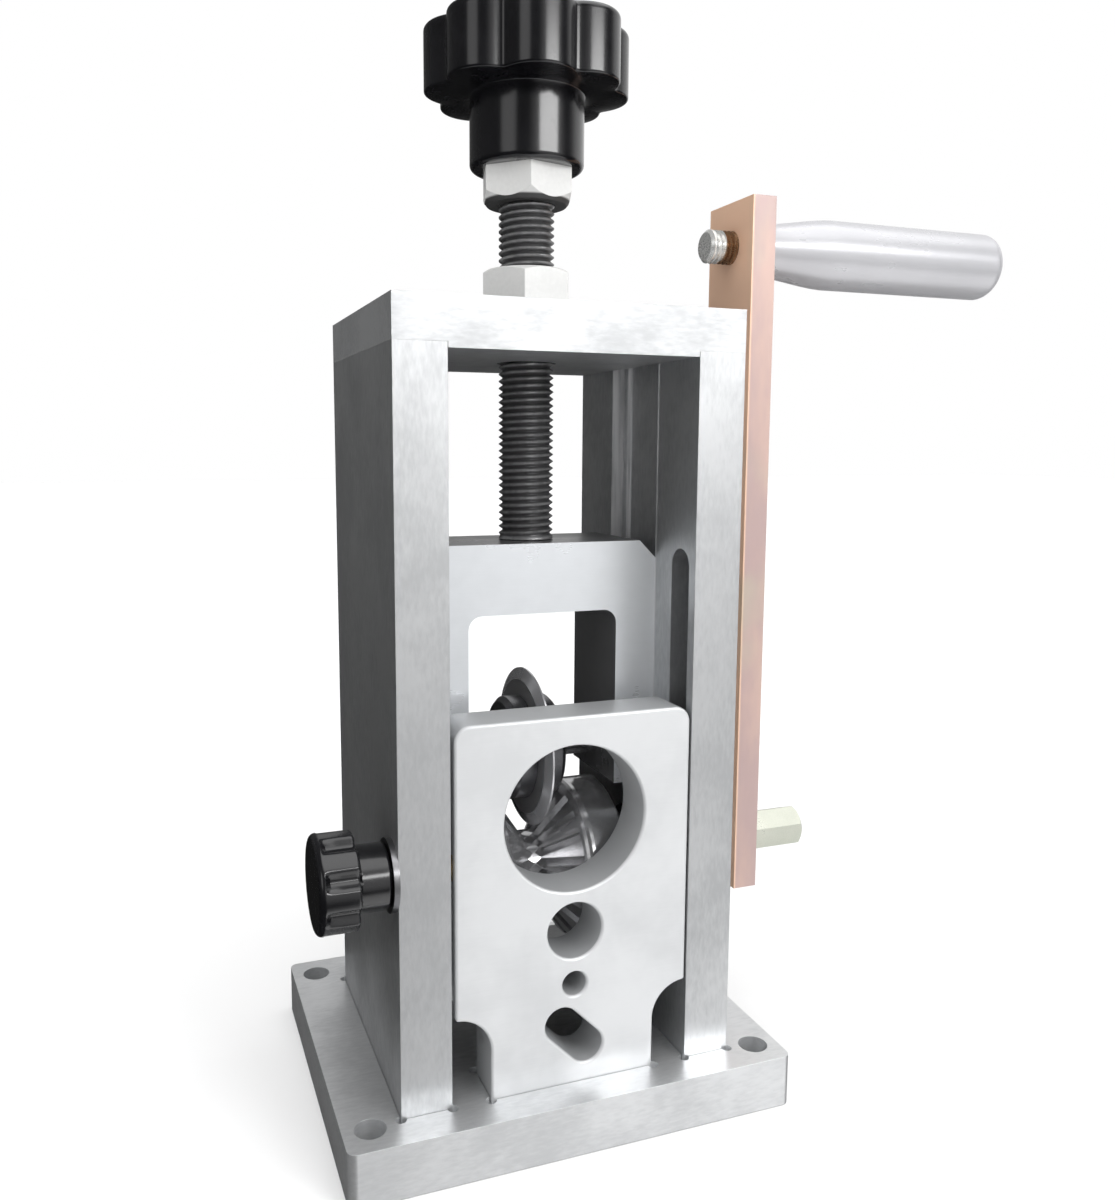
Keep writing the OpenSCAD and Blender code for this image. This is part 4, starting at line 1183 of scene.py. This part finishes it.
@dataclass
class CrankSet:
    """The crank arm with the turning handle, in millimetres."""

    bench: Bench
    arm_edge: float = 0.4
    thread_pitch: float = 1.5
    thread_depth: float = 1.0
    thread_r: float = 5.0
    thread_ease: float = 0.9
    brown_l: float = 4.0
    flange_w: float = 2.0
    flange_r: float = 7.9
    flange_ease: float = 0.2
    spindle_r: float = 4.0
    centre_r: float = 0.8
    grip_bore_r: float = 4.05
    mouth_r: float = 7.9
    mouth_ease: Span = (0.4, 0.5)
    taper_l: float = 23.6
    taper_steps: int = 12
    taper_bow: float = 0.45
    grip_r: float = 10.7
    grip_plain_l: float = 30.0
    grip_round: float = 4.0
    cap_seat_r: float = 6.5
    cap_seat_l: float = 10.0
    cap_seat_ease: float = 0.1
    cap_seat_plain: float = 1.0
    cap_lead: Span = (0.4, 0.05)
    hold: float = 0.3

    def build(self) -> None:
        """Makes the arm, the spindle and the handle."""
        plated = YellowZinc("yellow_zinc_arm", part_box("crank_arm")[0].x).material()
        self.bench.eased("crank_arm", "crank_bar", self.arm_edge * MM, plated)
        self.spindle()
        self.grip()

    def spindle(self) -> None:
        """Makes the spindle with its threaded stub, tinted brown where it comes out of the arm."""
        low, high = reach_of("handle_spindle", Axis.X)
        arm, start = reach_of("crank_arm", Axis.X)
        end, ease = start + self.flange_w, self.flange_ease
        thread = Thread(self.thread_pitch, self.thread_depth, low + self.thread_ease, arm)
        stations = [(low, self.centre_r), (low, self.thread_r - self.thread_ease),
                    (low + self.thread_ease, self.thread_r), *thread.stations(self.thread_r, per_turn=10),
                    (start, self.thread_r), (start, self.flange_r - ease), (start + ease, self.flange_r),
                    (end - ease, self.flange_r), (end, self.flange_r - ease), (end, self.spindle_r),
                    (high, self.spindle_r), (high, self.centre_r)]
        spindle = turned("handle_stub", Axis.X, middle_of("handle_spindle"), stations, thread.radius,
                         steps=64)
        smooth(spindle, MOULDED_CREASE)
        # The stub is tinted brown over a short stretch next to the arm.
        low_corner, high_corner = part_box("handle_spindle")
        brown_box = (((arm - self.brown_l) * MM, low_corner.y, low_corner.z),
                   (arm * MM, high_corner.y, high_corner.z))
        zinc = MachinedMetal("white_zinc_stub", (0.92, 0.92, 0.90), (0.82, 0.82, 0.80), 0.22,
                             metallic=0.65, brown_box=brown_box).material()
        self.bench.stand_in(spindle, "handle_spindle", zinc)

    def grip(self) -> None:
        """Makes the polished handle with its taper, its rounded end and the cap in it."""
        low, high = reach_of("handle_grip", Axis.X)
        lip, lip_r = self.mouth_ease
        seat, seat_r, ease = high - self.cap_seat_l, self.cap_seat_r, self.cap_seat_ease
        stations = [(low + lip, self.grip_bore_r), (low, self.mouth_r - lip_r), (low + lip, self.mouth_r)]
        for i in range(1, self.taper_steps + 1):
            share = i / self.taper_steps
            eased = share * share * (3 - 2 * share)
            swell = self.taper_bow * share + (1 - self.taper_bow) * eased
            stations.append((low + lip + self.taper_l * share,
                             self.mouth_r + (self.grip_r - self.mouth_r) * swell))
        end = self.grip_round
        stations += [(high - self.grip_plain_l, self.grip_r), (high - end - self.hold, self.grip_r),
                     *arc(high - end, self.grip_r - end, end, 0, 80, 10),
                     (high, seat_r + self.cap_lead[1]), (high - self.cap_lead[0], seat_r),
                     (seat + self.cap_seat_plain, seat_r), (seat + ease, seat_r - ease),
                     (seat, self.grip_bore_r)]
        grip = turned("polished_grip", Axis.X, middle_of("handle_grip"), stations, closed=True)
        smooth(grip, MOULDED_CREASE)
        bright = MachinedMetal("polished_handle", (0.51, 0.51, 0.53), (0.48, 0.48, 0.50), 0.28,
                               spread=0.03, grain=Grain.ALONG_X, mark_scale=260.0, mark_depth=0.0,
                               metallic=0.35).material()
        self.bench.stand_in(grip, "handle_grip", bright)
        self.bench.dress("grip_end_cap", bright)


@dataclass
class SmallSteel:
    """The screws, pins, rings, bearings, washer and pad, by finish."""

    bench: Bench
    black: Sequence[str] = ("base_screws", "top_plate_screws", "axle_set_screws", "crank_set_screw",
                            "flange_screws", "shaft_ring", "grip_snap_ring")
    ground: Sequence[str] = ("screw_retaining_pins", "blade_axle", "guide_pin", "clamp_stud",
                             "roller_key", "roller_spacers", "crank_spacer", "knob_insert")
    bright: Sequence[str] = ("bearing_outer_rings", "bearing_inner_rings", "bearing_balls")

    def build(self) -> None:
        """Dresses the small pieces."""
        for names, finish, light, dark, roughness in (
                (self.black, "blackened_screw", (0.11, 0.11, 0.115), (0.05, 0.05, 0.055), 0.34),
                (self.ground, "ground_steel_pin", (0.66, 0.66, 0.67), (0.52, 0.52, 0.54), 0.24),
                (("clamp_washer",), "dull_washer", (0.30, 0.30, 0.31), (0.20, 0.20, 0.21), 0.34),
                (self.bright, "bearing_race", (0.74, 0.74, 0.76), (0.60, 0.60, 0.62), 0.14),
                (("clamp_pad",), "brass_tip", (0.78, 0.58, 0.28), (0.60, 0.42, 0.18), 0.28)):
            made = MachinedMetal(finish, light, dark, roughness).material()
            for name in names:
                self.bench.dress(name, made)


def flat_piece(name: str, half_x: float, half_y: float, height: float = 0.0) -> bpy.types.Object:
    """Makes a level rectangle round the origin.

    Args:
        name: The piece's name.
        half_x: Half its width.
        half_y: Half its depth.
        height: Its height.

    Returns:
        The new piece.
    """
    mesh = bpy.data.meshes.new(name)
    corners = [(x * half_x, y * half_y, height) for x, y in ((-1, -1), (1, -1), (1, 1), (-1, 1))]
    mesh.from_pydata(corners, [], [(0, 1, 2, 3)])
    return add_object(name, mesh)


def aim(thing: bpy.types.Object, place: Point, target: Point) -> None:
    """Puts a thing at a place and turns it to look at a target."""
    thing.location = place
    thing.rotation_euler = (Vector(target) - Vector(place)).to_track_quat("-Z", "Y").to_euler()


@dataclass(frozen=True)
class Glow:
    """A brightness of the surroundings that rises as a direction turns towards a side.

    The span holds the cosines of the angles at which the rise starts and is full.
    """

    side: Point
    span: Span
    full: float
    dim: float = 0.0

    def level(self, tree: Nodes, place: Socket) -> Socket:
        """Gives the brightness in a direction.

        Args:
            tree: The node tree it goes into.
            place: The direction.

        Returns:
            The brightness.
        """
        towards = tree.add("ShaderNodeVectorMath", operation="DOT_PRODUCT")
        towards.inputs[1].default_value = Vector(self.side).normalized()
        tree.join(place, towards.inputs[0])
        return tree.ranged(towards.outputs["Value"], self.span, (self.dim, self.full))


@dataclass(frozen=True)
class Softbox:
    """A rectangular light that the pieces don't mirror."""

    name: str
    place: Point
    target: Point
    size: Span
    power: float

    def build(self) -> None:
        """Adds the light."""
        light = bpy.data.lights.new(self.name, "AREA")
        light.shape = "RECTANGLE"
        light.size, light.size_y = self.size
        light.energy = self.power
        holder = add_object(self.name, light)
        aim(holder, self.place, self.target)
        holder.visible_glossy = False
        LOG.info("%s is lit", self.name)


@dataclass(frozen=True)
class Card:
    """A card that only the pieces see: a glowing one to mirror, or a black one that keeps light off."""

    name: str
    place: Point
    target: Point
    size: Span
    level: float

    def build(self) -> None:
        """Adds the card."""
        card = flat_piece(self.name, self.size[0] / 2, self.size[1] / 2)
        sheet = Sheet(self.name)
        sheet.fixed(roughness=1.0, emission_strength=self.level)
        sheet.shader.inputs["Base Color"].default_value = BLACK
        sheet.shader.inputs["Emission Color"].default_value = WHITE
        card.data.materials.append(sheet.material)
        aim(card, self.place, self.target)
        card.visible_camera = False
        card.visible_shadow = False
        card.visible_diffuse = self.level == 0.0
        LOG.info("%s is placed", self.name)


@dataclass
class Studio:
    """The pale floor, the surroundings, the soft lights and the camera."""

    camera_at: Point = (-0.10775, -0.29443, 0.19045)
    yaw: float = 0.35488
    pitch: float = 0.12566
    roll: float = 0.00309
    focal_px: float = 1049.9
    middle_px: Span = (526.24, 581.57)
    photo: tuple[int, int] = (1115, 1200)
    sensor: float = 24.0
    clip: Span = (0.01, 50.0)
    floor_half: float = 6.0
    floor_z: float = -0.0002
    floor_grey: float = 0.90
    floor_roughness: float = 0.6
    sun_power: float = 2.3
    sun_width: float = math.radians(80)
    sun_tilt: Point = (math.radians(8), math.radians(-6), 0.0)
    gloom: Glow = Glow((0.0, 0.0, 1.0), (-0.30, 0.15), 0.10, dim=0.015)
    daylight: Glow = Glow((0.10, -0.90, 0.42), (-0.35, 0.60), 1.05, dim=0.14)
    walls: tuple[Glow, ...] = (
        Glow((0.70, 0.50, 0.50), (0.62, 0.88), 0.90),
        Glow((0.38, -0.92, 0.15), (0.76, 0.95), 0.84),
        Glow((0.38, -0.78, 0.50), (0.905, 0.945), 0.25),
        Glow((-0.80, -0.53, 0.33), (0.95, 0.985), 1.2),
        Glow((0.25, -0.25, 0.93), (0.80, 0.95), 2.4),
        Glow((0.45, -0.45, -0.77), (0.84, 0.95), 1.6))
    lights: tuple[Softbox, ...] = (
        Softbox("key_softbox", (0.66, -1.06, 0.74), (0.0, 0.0, 0.26), (0.50, 0.50), 5.5),
        Softbox("low_softbox", (0.60, -1.00, 0.22), (0.0, 0.0, 0.15), (0.70, 0.42), 0.55),
        Softbox("left_strip", (-1.05, -0.70, 0.62), (0.0, 0.0, 0.28), (0.10, 0.60), 0.35))
    cards: tuple[Card, ...] = (
        Card("strip_card", (0.50, -1.13, 0.63), (0.0, 0.0, 0.28), (0.85, 0.22), 9.5),
        Card("dark_flag", (0.0, 0.050, 0.055), (0.0, 0.0, 0.055), (0.090, 0.080), 0.0))

    def build(self) -> None:
        """Makes the whole studio."""
        self.floor()
        self.world()
        for light in self.lights:
            light.build()
        self.overhead()
        for card in self.cards:
            card.build()
        self.camera()

    def floor(self) -> None:
        """Makes the pale floor."""
        floor = flat_piece("pale_floor", self.floor_half, self.floor_half, self.floor_z)
        sheet = Sheet("pale_floor_paint")
        sheet.fixed(metallic=0.0, roughness=self.floor_roughness)
        sheet.shader.inputs["Base Color"].default_value = (*(self.floor_grey,) * 3, 1.0)
        floor.data.materials.append(sheet.material)
        floor.visible_glossy = False
        LOG.info("pale_floor is laid")

    def world(self) -> None:
        """Makes white surroundings, and dim ones with a few bright walls for the metal to mirror."""
        world = bpy.data.worlds.new("soft_studio")
        bpy.context.scene.world = world
        world.use_nodes = True
        tree = Nodes(world.node_tree)
        shown, seen, lit = (tree.add("ShaderNodeBackground") for _ in range(3))
        shown.inputs["Color"].default_value = WHITE
        place = tree.add("ShaderNodeTexCoord").outputs["Generated"]
        total = self.gloom.level(tree, place)
        for wall in self.walls:
            total = tree.math("ADD", wall.level(tree, place), total)
        tree.join(total, seen.inputs["Strength"])
        tree.join(self.daylight.level(tree, place), lit.inputs["Strength"])
        ray = tree.add("ShaderNodeLightPath").outputs
        soft = self.chosen(tree, ray["Is Diffuse Ray"], seen, lit)
        choice = self.chosen(tree, ray["Is Camera Ray"], soft, shown)
        tree.join(choice.outputs[0], tree.add("ShaderNodeOutputWorld").inputs["Surface"])
        bpy.context.scene.view_settings.view_transform = "Standard"
        LOG.info("surroundings are set")

    def chosen(self, tree: Nodes, asked: Socket, otherwise: bpy.types.Node,
               when_true: bpy.types.Node) -> bpy.types.Node:
        """Chooses between two shaders by the kind of ray.

        Args:
            tree: The node tree it goes into.
            asked: Tells whether a ray is of the kind.
            otherwise: The shader for other rays.
            when_true: The shader for rays of the kind.

        Returns:
            The node that gives the chosen shader.
        """
        node = tree.add("ShaderNodeMixShader")
        tree.join(asked, node.inputs[0])
        tree.join(otherwise.outputs[0], node.inputs[1])
        tree.join(when_true.outputs[0], node.inputs[2])
        return node

    def overhead(self) -> None:
        """Adds a broad soft light from above that keeps the floor evenly pale."""
        light = bpy.data.lights.new("overhead", "SUN")
        light.energy = self.sun_power
        light.angle = self.sun_width
        holder = add_object("overhead", light)
        holder.rotation_euler = self.sun_tilt
        holder.visible_glossy = False
        LOG.info("overhead is lit")

    def camera(self) -> None:
        """Sets the camera where the photograph was taken from."""
        sy, cy = math.sin(self.yaw), math.cos(self.yaw)
        sp, cp = math.sin(self.pitch), math.cos(self.pitch)
        forward = Vector((sy * cp, cy * cp, -sp))
        level = Vector((cy, -sy, 0.0))
        over = level.cross(forward)
        right = level * math.cos(self.roll) + over * math.sin(self.roll)
        up = over * math.cos(self.roll) - level * math.sin(self.roll)
        data = bpy.data.cameras.new("photo_camera")
        width, height = self.photo
        data.sensor_fit = "VERTICAL"
        data.sensor_height = self.sensor
        data.lens = self.focal_px / height * self.sensor
        data.shift_x = (width / 2 - self.middle_px[0]) / height
        data.shift_y = (self.middle_px[1] - height / 2) / height
        data.clip_start, data.clip_end = self.clip
        holder = add_object("photo_camera", data)
        turn = Matrix((right, up, -forward)).transposed()
        holder.matrix_world = Matrix.Translation(self.camera_at) @ turn.to_4x4()
        bpy.context.scene.camera = holder
        LOG.info("camera is set")


def main() -> None:
    """Builds every sub-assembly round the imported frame."""
    logging.basicConfig(level=logging.INFO, format="%(message)s")
    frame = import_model()
    record = frame["record"]
    node_body = {node: body for body, members in record["behaviour"]["bodies"].items() for node in members}
    node_slot = {part["node"]: part["material_slot"] for part in record["subparts"]}
    bench = Bench(frame["nodes"], node_body, node_slot)
    Studio().build()
    for group in (Plates, ScrewStack, CutterHead, RollerDrive, ClampSet, CrankSet, SmallSteel):
        group(bench).build()
    bare = sorted(set(frame["nodes"]) - bench.dressed)
    if bare:
        raise RuntimeError(f"nodes without a finish: {bare}")


if __name__ == "__main__":
    main()
